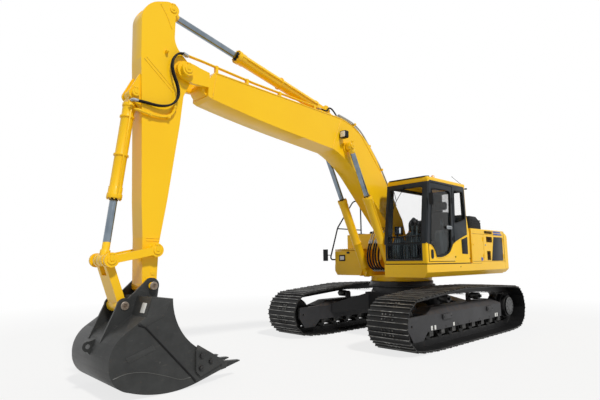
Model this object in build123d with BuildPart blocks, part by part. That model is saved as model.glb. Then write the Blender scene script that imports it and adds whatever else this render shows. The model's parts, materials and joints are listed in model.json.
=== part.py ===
"""Crawler excavator of the 28 tonne class, parked with its bucket on the ground.

Machine frame while modelling: X forward, Y left, Z up, millimetres, with the swing axis at x = y = 0 and the
ground at z = 0. On export every piece is shifted along X and Y so that the origin is the bottom centre of the
whole machine's bounding box.
"""

from build123d import *
import os
from math import atan2, cos, hypot, pi, sin

# ---------------------------------------------------------------- driving dimensions
AXLE_DISTANCE = 4030.0
GAUGE = 2590.0
TRACK_Y = GAUGE / 2
SHOE_WIDTH = 800.0
SHOE_COUNT = 48

DECK_BOTTOM = 1215.0
DECK_TOP = 1455.0
SIDE_Y = 1380.0
BODY_TOP = 2200.0
TAIL_RADIUS = 2905.0

BOOM_FOOT = (170.0, 1950.0)
ARM_PIN = (5550.0, 4270.0)
LINK_ARM_PIN = (5920.0, 1700.0)
BUCKET_PIN = (5960.0, 1250.0)
LINK_TIP_PIN = (6500.0, 1580.0)
LINK_BUCKET_PIN = (6300.0, 1020.0)
BOOM_CYL_BASE = (810.0, 1270.0)
BOOM_CYL_EYE = (2050.0, 3740.0)
ARM_CYL_BASE = (2450.0, 4430.0)
ARM_CYL_EYE = (5740.0, 5160.0)
BUCKET_CYL_BASE = (6245.0, 3780.0)

BOOM_HALF = 220.0
ARM_HALF = 150.0
BOOM_CYL_Y = 325.0
PIN_RADIUS = 45.0
PIN_PLAY = 0.05


# ---------------------------------------------------------------- shared helpers
def side(y):
    """Sketch plane at lateral place y: its x is the machine's X and its y is Z."""
    return Plane.XZ.offset(-y)


def cross(x):
    """Sketch plane across the machine at x: its x is Y and its y is Z."""
    return Plane.YZ.offset(x)


def along(start, end, y):
    """Plane at one pin that faces the next pin, both given as (x, z)."""
    return Plane(
        origin=(start[0], y, start[1]),
        x_dir=(0, 1, 0),
        z_dir=(end[0] - start[0], 0, end[1] - start[1]),
    )


def disc(point, y0, y1, radius, mode=Mode.ADD):
    """Cylinder across the machine about the side-view point (x, z), from y0 to y1."""
    with BuildSketch(side(y1)) as face:
        with Locations(point):
            Circle(radius)
    extrude(face.sketch, amount=y1 - y0, mode=mode)


def plate(points, y0, y1, mode=Mode.ADD):
    """Plate with a side-view outline of straight edges, from y0 to y1."""
    with BuildSketch(side(y1)) as face:
        with BuildLine():
            Polyline(*points, close=True)
        make_face()
    extrude(face.sketch, amount=y1 - y0, mode=mode)


def loop(start, rows):
    """Closed line: a row (x, z) is a straight run, a row (via x, via z, x, z) is an arc."""
    here = start
    for row in rows:
        if len(row) == 4:
            ThreePointArc(here, row[:2], row[2:])
        else:
            Line(here, row)
        here = row[-2:]
    Line(here, start)


def contour(start, rows, y0, y1, mode=Mode.ADD):
    """Plate from y0 to y1 with a side-view outline of straight runs and arcs."""
    with BuildSketch(side(y1)) as face:
        with BuildLine():
            loop(start, rows)
        make_face()
    extrude(face.sketch, amount=y1 - y0, mode=mode)


def pipe(points, bends, radius):
    """Round pipe along straight runs (x, y, z) joined by tangent bends of the listed radii."""
    with BuildLine() as route:
        FilletPolyline(*points, radius=bends)
    with BuildSketch(Plane(origin=route.line @ 0, z_dir=route.line % 0)) as face:
        Circle(radius)
    sweep(face.sketch, path=route.line)


def bar(start, end, radius):
    """Straight round bar between two places (x, y, z)."""
    run = Vector(*end) - Vector(*start)
    rounds(Plane(origin=start, z_dir=run), ((0, run.length, radius),))


def strap(start, end, half, y0, y1):
    """Flat bar between two pins given as (x, z), twice half wide."""
    run = hypot(end[0] - start[0], end[1] - start[1])
    nx = -(end[1] - start[1]) / run * half
    nz = (end[0] - start[0]) / run * half
    corners = (
        (start[0] + nx, start[1] + nz),
        (end[0] + nx, end[1] + nz),
        (end[0] - nx, end[1] - nz),
        (start[0] - nx, start[1] - nz),
    )
    plate(corners, y0, y1)


def louvre(x0, x1, z0, z1, y0, y1, slats):
    """Vent through a side wall between y0 and y1, with level slats left across it."""
    block(x0, x1, y0, y1, z0, z1, mode=Mode.SUBTRACT)
    step = (z1 - z0) / slats
    for k in range(slats):
        low = z0 + k * step + 0.2 * step
        block(x0, x1, y0 + 4, y1 - 4, low, low + 0.35 * step)


def block(x0, x1, y0, y1, z0, z1, mode=Mode.ADD):
    """Box between two corners."""
    with Locations(((x0 + x1) / 2, (y0 + y1) / 2, (z0 + z1) / 2)):
        Box(abs(x1 - x0), abs(y1 - y0), abs(z1 - z0), mode=mode)


def rounds(plane, steps, mode=Mode.ADD):
    """Turned shape on a plane's normal: rows of (from, to, radius)."""
    for start, end, radius in steps:
        with BuildSketch(plane.offset(start)) as face:
            Circle(radius)
        extrude(face.sketch, amount=end - start, mode=mode)


# ---------------------------------------------------------------- track path
GROUSER = 26.0
SHOE_PLATE = 12.0
LINK_OUT = 58.0
LINK_IN = 50.0
PIN_LINE = GROUSER + SHOE_PLATE + LINK_OUT
SPROCKET = (-AXLE_DISTANCE / 2, 486.0, 366.5)
IDLER = (AXLE_DISTANCE / 2, 474.0, 345.0)
CARRIER_RADIUS = 70.0
CARRIERS = ((500.0, 795.0), (-800.0, 775.0))
ROLLER_RADIUS = 95.0
ROLLER_COUNT = 8
ROLLER_FRONT = 1340.0
ROLLER_REAR = -1510.0
FLAT_FRONT = 1450.0
FLAT_REAR = -1620.0
RAIL_Z = PIN_LINE + LINK_IN


def wrap(circles):
    """Pin line round a belt of circles (x, z, radius) taken anticlockwise: rows of (kind, data, length)."""
    parts = []
    count = len(circles)
    tangents = []
    for i in range(count):
        x0, z0, r0 = circles[i]
        x1, z1, r1 = circles[(i + 1) % count]
        span = hypot(x1 - x0, z1 - z0)
        heading = atan2(z1 - z0, x1 - x0)
        lean = atan2(r0 - r1, (span**2 - (r0 - r1) ** 2) ** 0.5)
        out = heading - pi / 2 + lean
        start = (x0 + r0 * cos(out), z0 + r0 * sin(out))
        end = (x1 + r1 * cos(out), z1 + r1 * sin(out))
        tangents.append((start, end, out))
    for i in range(count):
        start, end, out = tangents[i]
        parts.append(("line", (start, end), hypot(end[0] - start[0], end[1] - start[1])))
        x, z, r = circles[(i + 1) % count]
        turn = (tangents[(i + 1) % count][2] - out) % (2 * pi)
        parts.append(("arc", (x, z, r, out), r * turn))
    return parts


def on_path(parts, s):
    """Point of the pin line at arc length s."""
    for kind, data, length in parts:
        if s <= length:
            if kind == "line":
                (x0, z0), (x1, z1) = data
                return (x0 + (x1 - x0) * s / length, z0 + (z1 - z0) * s / length)
            x, z, r, out = data
            return (x + r * cos(out + s / r), z + r * sin(out + s / r))
        s -= length
    return on_path(parts, 0.0)


FLAT_END = 5.0
CARRIER_PIN_LINE = CARRIER_RADIUS + LINK_IN + 16.0
BELT = wrap(
    [
        SPROCKET,
        (FLAT_REAR, PIN_LINE + FLAT_END, FLAT_END),
        (FLAT_FRONT, PIN_LINE + FLAT_END, FLAT_END),
        IDLER,
        (CARRIERS[0][0], CARRIERS[0][1], CARRIER_PIN_LINE),
        (CARRIERS[1][0], CARRIERS[1][1], CARRIER_PIN_LINE),
    ]
)
BELT_LENGTH = sum(length for _, _, length in BELT)
PINS = [on_path(BELT, BELT_LENGTH * (k + 0.5) / SHOE_COUNT) for k in range(SHOE_COUNT)]


def inset(points, amount):
    """The loop of pins moved outward by amount, square to the bend at each pin."""
    moved = []
    for k, (x, z) in enumerate(points):
        before = points[k - 1]
        after = points[(k + 1) % len(points)]
        a = atan2(z - before[1], x - before[0])
        b = atan2(after[1] - z, after[0] - x)
        half_turn = ((b - a + pi) % (2 * pi) - pi) / 2
        normal = a + half_turn - pi / 2
        reach = amount / cos(half_turn)
        moved.append((x + reach * cos(normal), z + reach * sin(normal)))
    return moved


# rows of (place along the shoe as a share of its pitch, height above its plate) for the triple grouser
SHOE_FORM = (
    (0.03, 0.0),
    (0.06, GROUSER),
    (0.12, GROUSER),
    (0.16, 0.0),
    (0.44, 0.0),
    (0.47, GROUSER * 0.85),
    (0.53, GROUSER * 0.85),
    (0.56, 0.0),
    (0.84, 0.0),
    (0.88, GROUSER),
    (0.94, GROUSER),
    (0.97, 0.0),
)


def shoe_outline():
    """Outer loop of shoe plates with their grousers."""
    loop = []
    for k in range(SHOE_COUNT):
        x0, z0 = PINS[k]
        x1, z1 = PINS[(k + 1) % SHOE_COUNT]
        pitch = hypot(x1 - x0, z1 - z0)
        ux, uz = (x1 - x0) / pitch, (z1 - z0) / pitch
        for share, height in SHOE_FORM:
            s = share * pitch
            h = LINK_OUT + SHOE_PLATE + height
            loop.append((x0 + ux * s + uz * h, z0 + uz * s - ux * h))
    return loop


def make_track(name, y):
    """One endless track: shoe plates with triple grousers on two rows of links."""
    link_places = (y - 57.0, y + 57.0)
    link_width = 44.0
    with BuildPart() as track:
        with BuildSketch(side(y)):
            with BuildLine():
                Polyline(*shoe_outline(), close=True)
            make_face()
            with BuildLine():
                Polyline(*inset(PINS, LINK_OUT), close=True)
            make_face(mode=Mode.SUBTRACT)
        extrude(amount=SHOE_WIDTH / 2, both=True)
        for link_y in link_places:
            with BuildSketch(side(link_y)):
                with BuildLine():
                    Polyline(*inset(PINS, LINK_OUT), close=True)
                make_face()
                with BuildLine():
                    Polyline(*inset(PINS, -LINK_IN), close=True)
                make_face(mode=Mode.SUBTRACT)
            extrude(amount=link_width / 2, both=True)
    track.part.label = name
    return track


# ---------------------------------------------------------------- undercarriage
FRAME_HALF = 190.0
FRAME_INNER_Y = TRACK_Y - FRAME_HALF
BEAM_LOW = 365.0
SPROCKET_TEETH = 21
TOOTH_HALF = 32.0


def make_track_frame(name, y):
    """Box beam with sloped shoulders between sprocket and idler, and the idler yoke's cheek plates."""
    yoke_half = 25.0
    yoke = (
        (1480.0, 590.0),
        (2080.0, 580.0),
        (2090.0, 372.0),
        (1940.0, 165.0),
        (1640.0, 165.0),
        (1480.0, 300.0),
    )
    skirt_in = FRAME_HALF - 17.0
    section = (
        # offset from the track's middle, height
        (-FRAME_HALF, 300.0),
        (-skirt_in, 300.0),
        (-skirt_in, BEAM_LOW),
        (skirt_in, BEAM_LOW),
        (skirt_in, 300.0),
        (FRAME_HALF, 300.0),
        (FRAME_HALF, 575.0),
        (110.0, 690.0),
        (-110.0, 690.0),
        (-FRAME_HALF, 575.0),
    )
    inward = -1 if y > 0 else 1
    inner_side = sorted((y + inward * FRAME_HALF, y + inward * (FRAME_HALF - 60)))
    drive_side = sorted((y + inward * FRAME_HALF, y + inward * 110))
    with BuildPart() as frame:
        with BuildSketch(cross(-1600.0)):
            with BuildLine():
                Polyline(*[(y + d, z) for d, z in section], close=True)
            make_face()
        extrude(amount=3100.0)
        for level, end in ((1200, 1500), (-1250, -1600)):
            ramp = ((level, 700), (level, 690), (end, 590), (1.02 * end, 590), (1.02 * end, 700))
            plate(ramp, y - 200, y + 200, mode=Mode.SUBTRACT)
        for cheek_y in (y - FRAME_HALF + yoke_half, y + FRAME_HALF - yoke_half):
            plate(yoke, cheek_y - yoke_half, cheek_y + yoke_half)
            disc((1980.0, 430.0), cheek_y - yoke_half, cheek_y + yoke_half, 22, mode=Mode.SUBTRACT)
        # carriers stand on the beam
        for cx, cz in CARRIERS:
            block(cx - 60, cx + 60, *inner_side, 560, cz)
            disc((cx, cz), *inner_side, 60)
        # final drive case bolted to the rear end, inboard of the sprocket
        block(-1960, -1590, *drive_side, BEAM_LOW, 600)
        disc(SPROCKET[:2], *drive_side, 240)
    frame.part.label = name
    return frame


def make_sprockets():
    """Two toothed sprockets with their final drives; the teeth run between the two rows of links."""
    root = SPROCKET[2] - 48.0
    tip = SPROCKET[2] + 6.0
    with BuildPart() as sprockets:
        for y in (TRACK_Y, -TRACK_Y):
            out = 1 if y > 0 else -1
            drive = Plane(origin=(SPROCKET[0], y, SPROCKET[1]), x_dir=(1, 0, 0), z_dir=(0, out, 0))
            rounds(drive, ((-TOOTH_HALF, TOOTH_HALF, root),))
            with BuildSketch(drive.offset(-TOOTH_HALF)) as teeth:
                with PolarLocations(root - 6, SPROCKET_TEETH):
                    Polygon((0, -34), (tip - root, -14), (tip - root, 14), (0, 34), align=None)
            extrude(teeth.sketch, amount=2 * TOOTH_HALF)
            rounds(drive, ((TOOTH_HALF, 110, 270), (110, 190, 235), (190, 215, 150)))
            rounds(drive, ((-109, -TOOTH_HALF, 235),))
    sprockets.part.label = "sprockets"
    return sprockets


def make_idlers():
    """Front idlers, each a rim with a centre flange on a hub shaft held by the yoke."""
    half_link = BELT_LENGTH / SHOE_COUNT / 2
    tread = (IDLER[2] ** 2 - half_link**2) ** 0.5 - LINK_IN - 1.0
    with BuildPart() as idlers:
        for y in (TRACK_Y, -TRACK_Y):
            axle = Plane(origin=(IDLER[0], y, IDLER[1]), x_dir=(1, 0, 0), z_dir=(0, 1, 0))
            rounds(axle, ((-85, 85, tread), (-32, 32, tread + 22), (-139, 139, 60)))
    idlers.part.label = "idlers"
    return idlers


def make_rollers():
    """Track rollers under both frames and carrier rollers above them."""
    step = (ROLLER_FRONT - ROLLER_REAR) / (ROLLER_COUNT - 1)
    with BuildPart() as rollers:
        for y in (TRACK_Y, -TRACK_Y):
            for k in range(ROLLER_COUNT):
                x = ROLLER_FRONT - k * step
                axle = Plane(origin=(x, y, RAIL_Z + ROLLER_RADIUS + 1), x_dir=(1, 0, 0), z_dir=(0, 1, 0))
                rounds(axle, ((-105, 105, ROLLER_RADIUS), (-150, 150, 40)))
                for bracket_y in (y - 150.0, y + 150.0):
                    block(x - 60, x + 60, bracket_y - 22, bracket_y + 22, RAIL_Z + 65, BEAM_LOW)
            for cx, cz in CARRIERS:
                axle = Plane(origin=(cx, y, cz), x_dir=(1, 0, 0), z_dir=(0, 1, 0))
                rounds(axle, ((-85, 85, CARRIER_RADIUS), (-130, 130, 30)))
    rollers.part.label = "rollers"
    return rollers


def make_car_body():
    """Centre frame: a drum under the slewing ring with four legs out to the track frames."""
    with BuildPart() as car_body:
        block(-640, 640, -520, 520, 500, 860)
        rounds(Plane.XY.offset(860), ((0, 130, 640),))
        for sx in (1, -1):
            for sy in (1, -1):
                inner_plane = side(sy * 420.0)
                outer_plane = side(sy * FRAME_INNER_Y)
                with BuildSketch(inner_plane):
                    with Locations((sx * 390.0, 680.0)):
                        Rectangle(480, 350)
                with BuildSketch(outer_plane):
                    with Locations((sx * 900.0, 505.0)):
                        Rectangle(420, 200)
                loft()
    car_body.part.label = "car_body"
    return car_body


def make_slew_ring():
    """Fixed half of the slewing ring with its bolt flange."""
    with BuildPart() as slew_ring:
        rounds(Plane.XY.offset(990), ((0, 30, 720), (30, 105, 680)))
        rounds(Plane.XY.offset(990), ((0, 105, 540),), mode=Mode.SUBTRACT)
    slew_ring.part.label = "slew_ring"
    return slew_ring


# ---------------------------------------------------------------- revolving frame
SKIRT = 25.0
CENTRE_HALF = 440.0
FRONT_LEFT = 1225.0
FRONT_RIGHT = 650.0
BODY_REAR = -2280.0
BRACKET_IN = 232.0
BRACKET_OUT = 292.0


def deck_section(inner, outer, sign):
    """Section of a side deck: folded skirt with its lower bevel and the deck sheet, as (y, z) points."""
    points = (
        (outer - 70, DECK_BOTTOM),
        (outer, 1310.0),
        (outer, DECK_TOP),
        (inner, DECK_TOP),
        (inner, DECK_BOTTOM),
        (inner + SKIRT, DECK_BOTTOM),
        (inner + SKIRT, DECK_TOP - SKIRT),
        (outer - SKIRT, DECK_TOP - SKIRT),
        (outer - SKIRT, 1320.0),
        (outer - 70 - SKIRT, DECK_BOTTOM),
    )
    return [(sign * y, z) for y, z in points]


def end_section(inner, outer, sign):
    """Outline of a deck's closed end, as (y, z) points."""
    points = (
        (inner, DECK_BOTTOM),
        (outer - 70, DECK_BOTTOM),
        (outer, 1310.0),
        (outer, DECK_TOP),
        (inner, DECK_TOP),
    )
    return [(sign * y, z) for y, z in points]


def deck(x0, x1, section):
    """Length of a deck section between two places along the machine."""
    with BuildSketch(cross(x0)) as face:
        with BuildLine():
            Polyline(*section, close=True)
        make_face()
    extrude(face.sketch, amount=x1 - x0)


CAB_MOUNTS = ((1050.0, 540.0), (1050.0, 1280.0), (-380.0, 540.0), (-380.0, 1280.0))


def make_revolving_frame():
    """Deck of the upper structure with the boom and cylinder brackets."""
    decks = (
        # side, rear x, front x
        (1, BODY_REAR, FRONT_LEFT),
        (-1, BODY_REAR, FRONT_RIGHT),
    )
    bracket = (
        (700.0, DECK_BOTTOM),
        (700.0, 1380.0),
        (420.0, 1560.0),
        (BOOM_FOOT[0] + 128, BOOM_FOOT[1] - 30),
        (BOOM_FOOT[0] - 128, BOOM_FOOT[1] - 30),
        (-420.0, 1500.0),
    )
    lug = ((620, 1215), (960, 1215), (900, 1330), (850, 1360), (770, 1360), (620, 1300))
    with BuildPart() as frame:
        # inner half of the slewing ring
        rounds(Plane.XY.offset(1099), ((0, 101, 660),))
        block(-2640, 690, -CENTRE_HALF, CENTRE_HALF, 1200, 1230)
        for sign, rear, front in decks:
            deck(rear, front, deck_section(CENTRE_HALF, SIDE_Y, sign))
            for x0 in (rear, front - SKIRT):
                deck(x0, x0 + SKIRT, end_section(CENTRE_HALF, SIDE_Y, sign))
        for sign in (1, -1):
            y0, y1 = sorted((sign * BRACKET_IN, sign * BRACKET_OUT))
            plate(((-420.0, DECK_BOTTOM), *bracket), y0, y1)
            disc(BOOM_FOOT, y0, y1, 130)
            # rear longitudinal beam that carries the counterweight
            y0, y1 = sorted((sign * 380.0, sign * CENTRE_HALF))
            block(-2640, -420, y0, y1, 1230, 1440)
            # lug pair of the boom cylinder, each side of its eye
            for lug_y in (BOOM_CYL_Y - 70.0, BOOM_CYL_Y + 70.0):
                y0, y1 = sorted((sign * (lug_y - 15), sign * (lug_y + 15)))
                plate(lug, y0, y1)
            y0, y1 = sorted((sign * (BOOM_CYL_Y - 85), sign * (BOOM_CYL_Y + 85)))
            disc(BOOM_CYL_BASE, y0, y1, PIN_RADIUS)
        # pin through both boom brackets
        disc(BOOM_FOOT, -BRACKET_OUT - 30, BRACKET_OUT + 30, PIN_RADIUS + 10)
        for x, y in CAB_MOUNTS:
            with Locations((x, y, DECK_TOP + 10)):
                Cylinder(60, 20)
    frame.part.label = "revolving_frame"
    return frame


def make_counterweight():
    """Cast counterweight: flat sides run into the tail arc, rounded above and bevelled below."""
    bottom = DECK_BOTTOM + 20
    front = BODY_REAR - 8
    corner = -2470.0
    with BuildPart() as counterweight:
        with BuildSketch(Plane.XY.offset(bottom)):
            with BuildLine():
                Line((front, SIDE_Y), (corner, SIDE_Y))
                ThreePointArc((corner, SIDE_Y), (-TAIL_RADIUS, 0), (corner, -SIDE_Y))
                Line((corner, -SIDE_Y), (front, -SIDE_Y))
                Line((front, -SIDE_Y), (front, SIDE_Y))
            make_face()
        extrude(amount=BODY_TOP - bottom)
        levels = counterweight.faces().filter_by(Axis.Z).sort_by(Axis.Z)
        fillet([e for e in levels[-1].edges() if e.center().X < BODY_REAR - 20], 150)
        levels = counterweight.faces().filter_by(Axis.Z).sort_by(Axis.Z)
        chamfer([e for e in levels[0].edges() if e.center().X < BODY_REAR - 20], 90, 60)
        # saddle over the tail of the revolving frame
        block(-2660, BODY_REAR, -CENTRE_HALF - 12, CENTRE_HALF + 12, 1190, 1452, mode=Mode.SUBTRACT)
        # lifting lugs
        for y in (700.0, -700.0):
            block(-2500, -2380, y - 20, y + 20, BODY_TOP - 10, BODY_TOP + 60)
            disc((-2440, BODY_TOP + 60), y - 20, y + 20, 60)
            disc((-2440, BODY_TOP + 60), y - 20, y + 20, 32, mode=Mode.SUBTRACT)
    counterweight.part.label = "counterweight"
    return counterweight


WALL = 30.0
REAR_DOOR_VENTS = (
    # rear x, front x, low z, high z, slats
    (-1630.0, -1330.0, 1915.0, 2043.0, 4),
    (-1520.0, -1340.0, 1520.0, 1720.0, 6),
)
LEFT_DOORS = (
    # name, front x, rear x, vents
    ("left_front_door", -640.0, -1180.0, ()),
    ("left_rear_door", -1196.0, -2240.0, REAR_DOOR_VENTS),
)
RIGHT_DOOR = ("right_door", -1330.0, -2240.0)
DOOR_SILL = 1500.0
DOOR_HEAD = 2085.0


def make_body_left():
    """Housing behind the cab: front wall, top sheet and the posts round the two doors."""
    inner = SIDE_Y - WALL
    with BuildPart() as body:
        block(-2272, -600, CENTRE_HALF + 40, SIDE_Y, DECK_TOP, BODY_TOP)
        outer_top = body.edges().filter_by(Axis.X).sort_by(Axis.Y)[-2:].sort_by(Axis.Z)[-1]
        fillet(outer_top, 25)
        block(-2242, -630, CENTRE_HALF - 100, inner, DECK_TOP + WALL, BODY_TOP - WALL, mode=Mode.SUBTRACT)
        for _, front, rear, _ in LEFT_DOORS:
            block(rear - 6, front + 6, inner, SIDE_Y, DOOR_SILL - 6, DOOR_HEAD + 6, mode=Mode.SUBTRACT)
        louvre(-1650, -1240, DOOR_HEAD + 20, BODY_TOP - WALL - 2, inner, SIDE_Y, 3)
    body.part.label = "body_left"
    return body


def make_body_right():
    """Pump housing at the right rear: top sheet, the posts round its door and the exhaust stack."""
    inner = -SIDE_Y + WALL
    with BuildPart() as body:
        block(-2272, -1290, -SIDE_Y, -CENTRE_HALF - 40, DECK_TOP, BODY_TOP)
        outer_top = body.edges().filter_by(Axis.X).sort_by(Axis.Y)[:2].sort_by(Axis.Z)[-1]
        fillet(outer_top, 25)
        block(-2242, -1320, inner, -CENTRE_HALF + 100, DECK_TOP + WALL, BODY_TOP - WALL, mode=Mode.SUBTRACT)
        _, front, rear = RIGHT_DOOR
        block(rear - 6, front + 6, -SIDE_Y, inner, DOOR_SILL - 6, DOOR_HEAD + 6, mode=Mode.SUBTRACT)
    body.part.label = "body_right"
    return body


def make_exhaust():
    """Exhaust stack on a flange, its outlet bent to the rear."""
    foot = (-1900.0, -900.0, BODY_TOP)
    with BuildPart() as exhaust:
        rounds(Plane(origin=foot), ((0, 15, 110),))
        pipe((foot, (-1900, -900, 2520), (-2080, -900, 2640)), (110,), 60)
    exhaust.part.label = "exhaust"
    return exhaust


def make_side_door(name, front, rear, sign, vents):
    """Hinged side door; vents lists (rear x, front x, low z, high z, slats)."""
    y0, y1 = sorted((sign * (SIDE_Y - 28), sign * SIDE_Y))
    with BuildPart() as door:
        block(rear, front, y0, y1, DOOR_SILL, DOOR_HEAD)
        for x0, x1, z0, z1, slats in vents:
            louvre(x0, x1, z0, z1, y0, y1, slats)
    door.part.label = name
    return door


def make_tanks():
    """Fuel tank and hydraulic tank on the right deck."""
    rows = (
        # front x, rear x, top z
        (180.0, -540.0, 2160.0),
        (-556.0, -1274.0, 2180.0),
    )
    with BuildPart() as tanks:
        for front, rear, top in rows:
            block(rear, front, -SIDE_Y, -CENTRE_HALF - 40, DECK_TOP, top)
    tanks.part.label = "tanks"
    return tanks


HOOD_X = (-2200.0, -1560.0)
HOOD_Y = (-430.0, 900.0)


def make_centre_cover():
    """Firewall and top sheet over the engine, open under the hood."""
    edge = CENTRE_HALF + 38
    with BuildPart() as cover:
        block(-2272, -1300, -edge, edge, BODY_TOP - WALL, BODY_TOP)
        block(HOOD_X[0] + 30, HOOD_X[1] - 30, -400, 400, BODY_TOP - WALL, BODY_TOP, mode=Mode.SUBTRACT)
        block(-1330, -1300, -edge, edge, DECK_TOP, BODY_TOP)
    cover.part.label = "centre_cover"
    return cover


def make_engine_hood():
    """Raised engine hood, a hollow lid with a sloped tail, side slats and ribs on its top."""
    y0, y1 = HOOD_Y
    low = BODY_TOP + 6
    outline = ((HOOD_X[1], low), (HOOD_X[1] - 110, 2570), (-1950, 2570), (-2180, 2440), (HOOD_X[0], low))
    hollow = ((HOOD_X[1] - 30, low), (HOOD_X[1] - 135, 2540), (-1940, 2540), (-2152, 2420), (-2170, low))
    with BuildPart() as hood:
        plate(outline, y0, y1)
        fillet([e for e in hood.edges() if abs(e.center().Y) > 1 and e.center().Z > low + 20 and
                (e.center().Y - y0) * (e.center().Y - y1) > -1], 45)
        plate(hollow, y0 + WALL, y1 - WALL, mode=Mode.SUBTRACT)
        for k in range(4):
            z = 2270 + 62 * k
            block(-2130, -1680, y1 - 10, y1 + 14, z, z + 24)
            block(-2130, -1680, y0 - 14, y0 + 10, z, z + 24)
        for k in range(5):
            y = y0 + 150 + k * (y1 - y0 - 300) / 4
            block(-1950, -1690, y - 14, y + 14, 2565, 2582)
    hood.part.label = "engine_hood"
    return hood


def make_engine():
    """Engine as one plain block at its place across the tail."""
    with BuildPart() as engine:
        block(-2150, -1480, -420, 420, 1480, 2150)
        block(-2050, -1600, -300, 300, 1230, 1480)
    engine.part.label = "engine"
    return engine


def make_cooling_pack():
    """Radiator and oil cooler behind the left rear door."""
    with BuildPart() as cooling:
        block(-2150, -1330, 620, 900, DECK_TOP + WALL, 2120)
    cooling.part.label = "cooling_pack"
    return cooling


def make_pump():
    """Hydraulic pump behind the right door."""
    with BuildPart() as pump:
        block(-1980, -1650, -1150, -700, DECK_TOP + WALL, 1950)
    pump.part.label = "pump"
    return pump


def make_swing_motor():
    """Swing motor and gear case between the boom brackets and the tank."""
    with BuildPart() as motor:
        foot = Plane(origin=(-760, 0, 1230))
        rounds(foot, ((0, 40, 230), (40, 330, 185), (330, 520, 130)))
    motor.part.label = "swing_motor"
    return motor


TOOLBOX = (200.0, 640.0, -SIDE_Y, -620.0)
LAMP_Y = (-1240.0, -1080.0)
LAMP_Z = (1545.0, 1665.0)


def make_toolbox():
    """Open box at the right front with a lamp set in its face."""
    x0, x1, y0, y1 = TOOLBOX
    with BuildPart() as box:
        block(x0, x1, y0, y1, DECK_TOP, 1770)
        fillet(box.edges().filter_by(Axis.Y).sort_by(Axis.X)[-2:].sort_by(Axis.Z)[-1], 25)
        block(x0 + WALL, x1 - WALL, y0 + WALL, y1 - WALL, DECK_TOP + WALL, 1770, mode=Mode.SUBTRACT)
        block(x1 - 20, x1, *LAMP_Y, *LAMP_Z, mode=Mode.SUBTRACT)
    box.part.label = "toolbox"
    return box


def make_front_lamp():
    """Work lamp seated in the toolbox's face."""
    x1 = TOOLBOX[1]
    with BuildPart() as lamp:
        block(x1 - 20, x1 + 6, *LAMP_Y, *LAMP_Z)
        fillet(lamp.edges().group_by(Axis.X)[-1], 5)
        lens_y = (LAMP_Y[0] + 14, LAMP_Y[1] - 14)
        lens_z = (LAMP_Z[0] + 14, LAMP_Z[1] - 14)
        block(x1 - 4, x1 + 6, *lens_y, *lens_z, mode=Mode.SUBTRACT)
    lamp.part.label = "front_lamp"
    return lamp


def make_handrails():
    """Rail from the toolbox up over the tanks at the right, its level bar, its feet and the mirror on it."""
    y = -SIDE_Y - 45
    top = 3040.0
    rear = -420.0
    with BuildPart() as rails:
        pipe(
            ((560, y, 1570), (770, y, 1570), (480, y, 2330), (-150, y, top), (rear, y, top), (rear, y, 1700)),
            (60, 260, 240, 110),
            17,
        )
        bar((470, y, 2310), (rear, y, 2310), 14)
        for x, z in ((600, 1570), (rear, 2050), (rear, 1760)):
            bar((x, -SIDE_Y, z), (x, y, z), 12)
        bar((728, y, 1675), (833, y - 60, 1675), 9)
        block(820, 846, y - 150, y - 20, 1540, 1810)
    rails.part.label = "handrails"
    return rails


def make_toolbox_lid():
    """Lid of the toolbox, hinged at its rear edge."""
    x0, x1, y0, y1 = TOOLBOX
    with BuildPart() as lid:
        block(x0 + 10, x1, y0, y1, 1776, 1806)
    lid.part.label = "toolbox_lid"
    return lid


# ---------------------------------------------------------------- cab
CAB_RIGHT = 445.0
CAB_LEFT = SIDE_Y
CAB_WALL = 45.0
CAB_FLOOR = DECK_TOP + 20.0
CAB_OUTLINE = (
    # side view (x, z), anticlockwise from the front foot
    (1215.0, CAB_FLOOR),
    (1215.0, 1850.0),
    (1040.0, 3060.0),
    (-440.0, 3060.0),
    (-460.0, 2440.0),
    (-545.0, 2070.0),
    (-520.0, CAB_FLOOR),
)
DOOR_X = (150.0, 1130.0)
DOOR_Z = (1510.0, 3010.0)
SCREEN_Y = (495.0, 1270.0)
SCREEN_LOW = 1550.0
SCREEN_HIGH = 2970.0
REAR_Y = (570.0, 1280.0)
REAR_Z = (2480.0, 2960.0)
PANE = 6.0
DOOR_GLASS_START = (935.0, 2880.0)
DOOR_GLASS_FORM = (
    (1066.0, 1850.0),
    (975.0, 1790.0, 925.0, 1690.0),
    (905.0, 1632.0, 845.0, 1618.0),
    (500.0, 1650.0),
    (340.0, 1700.0, 285.0, 1830.0),
    (224.0, 2830.0),
    (245.0, 2893.0, 310.0, 2915.0),
)


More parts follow.
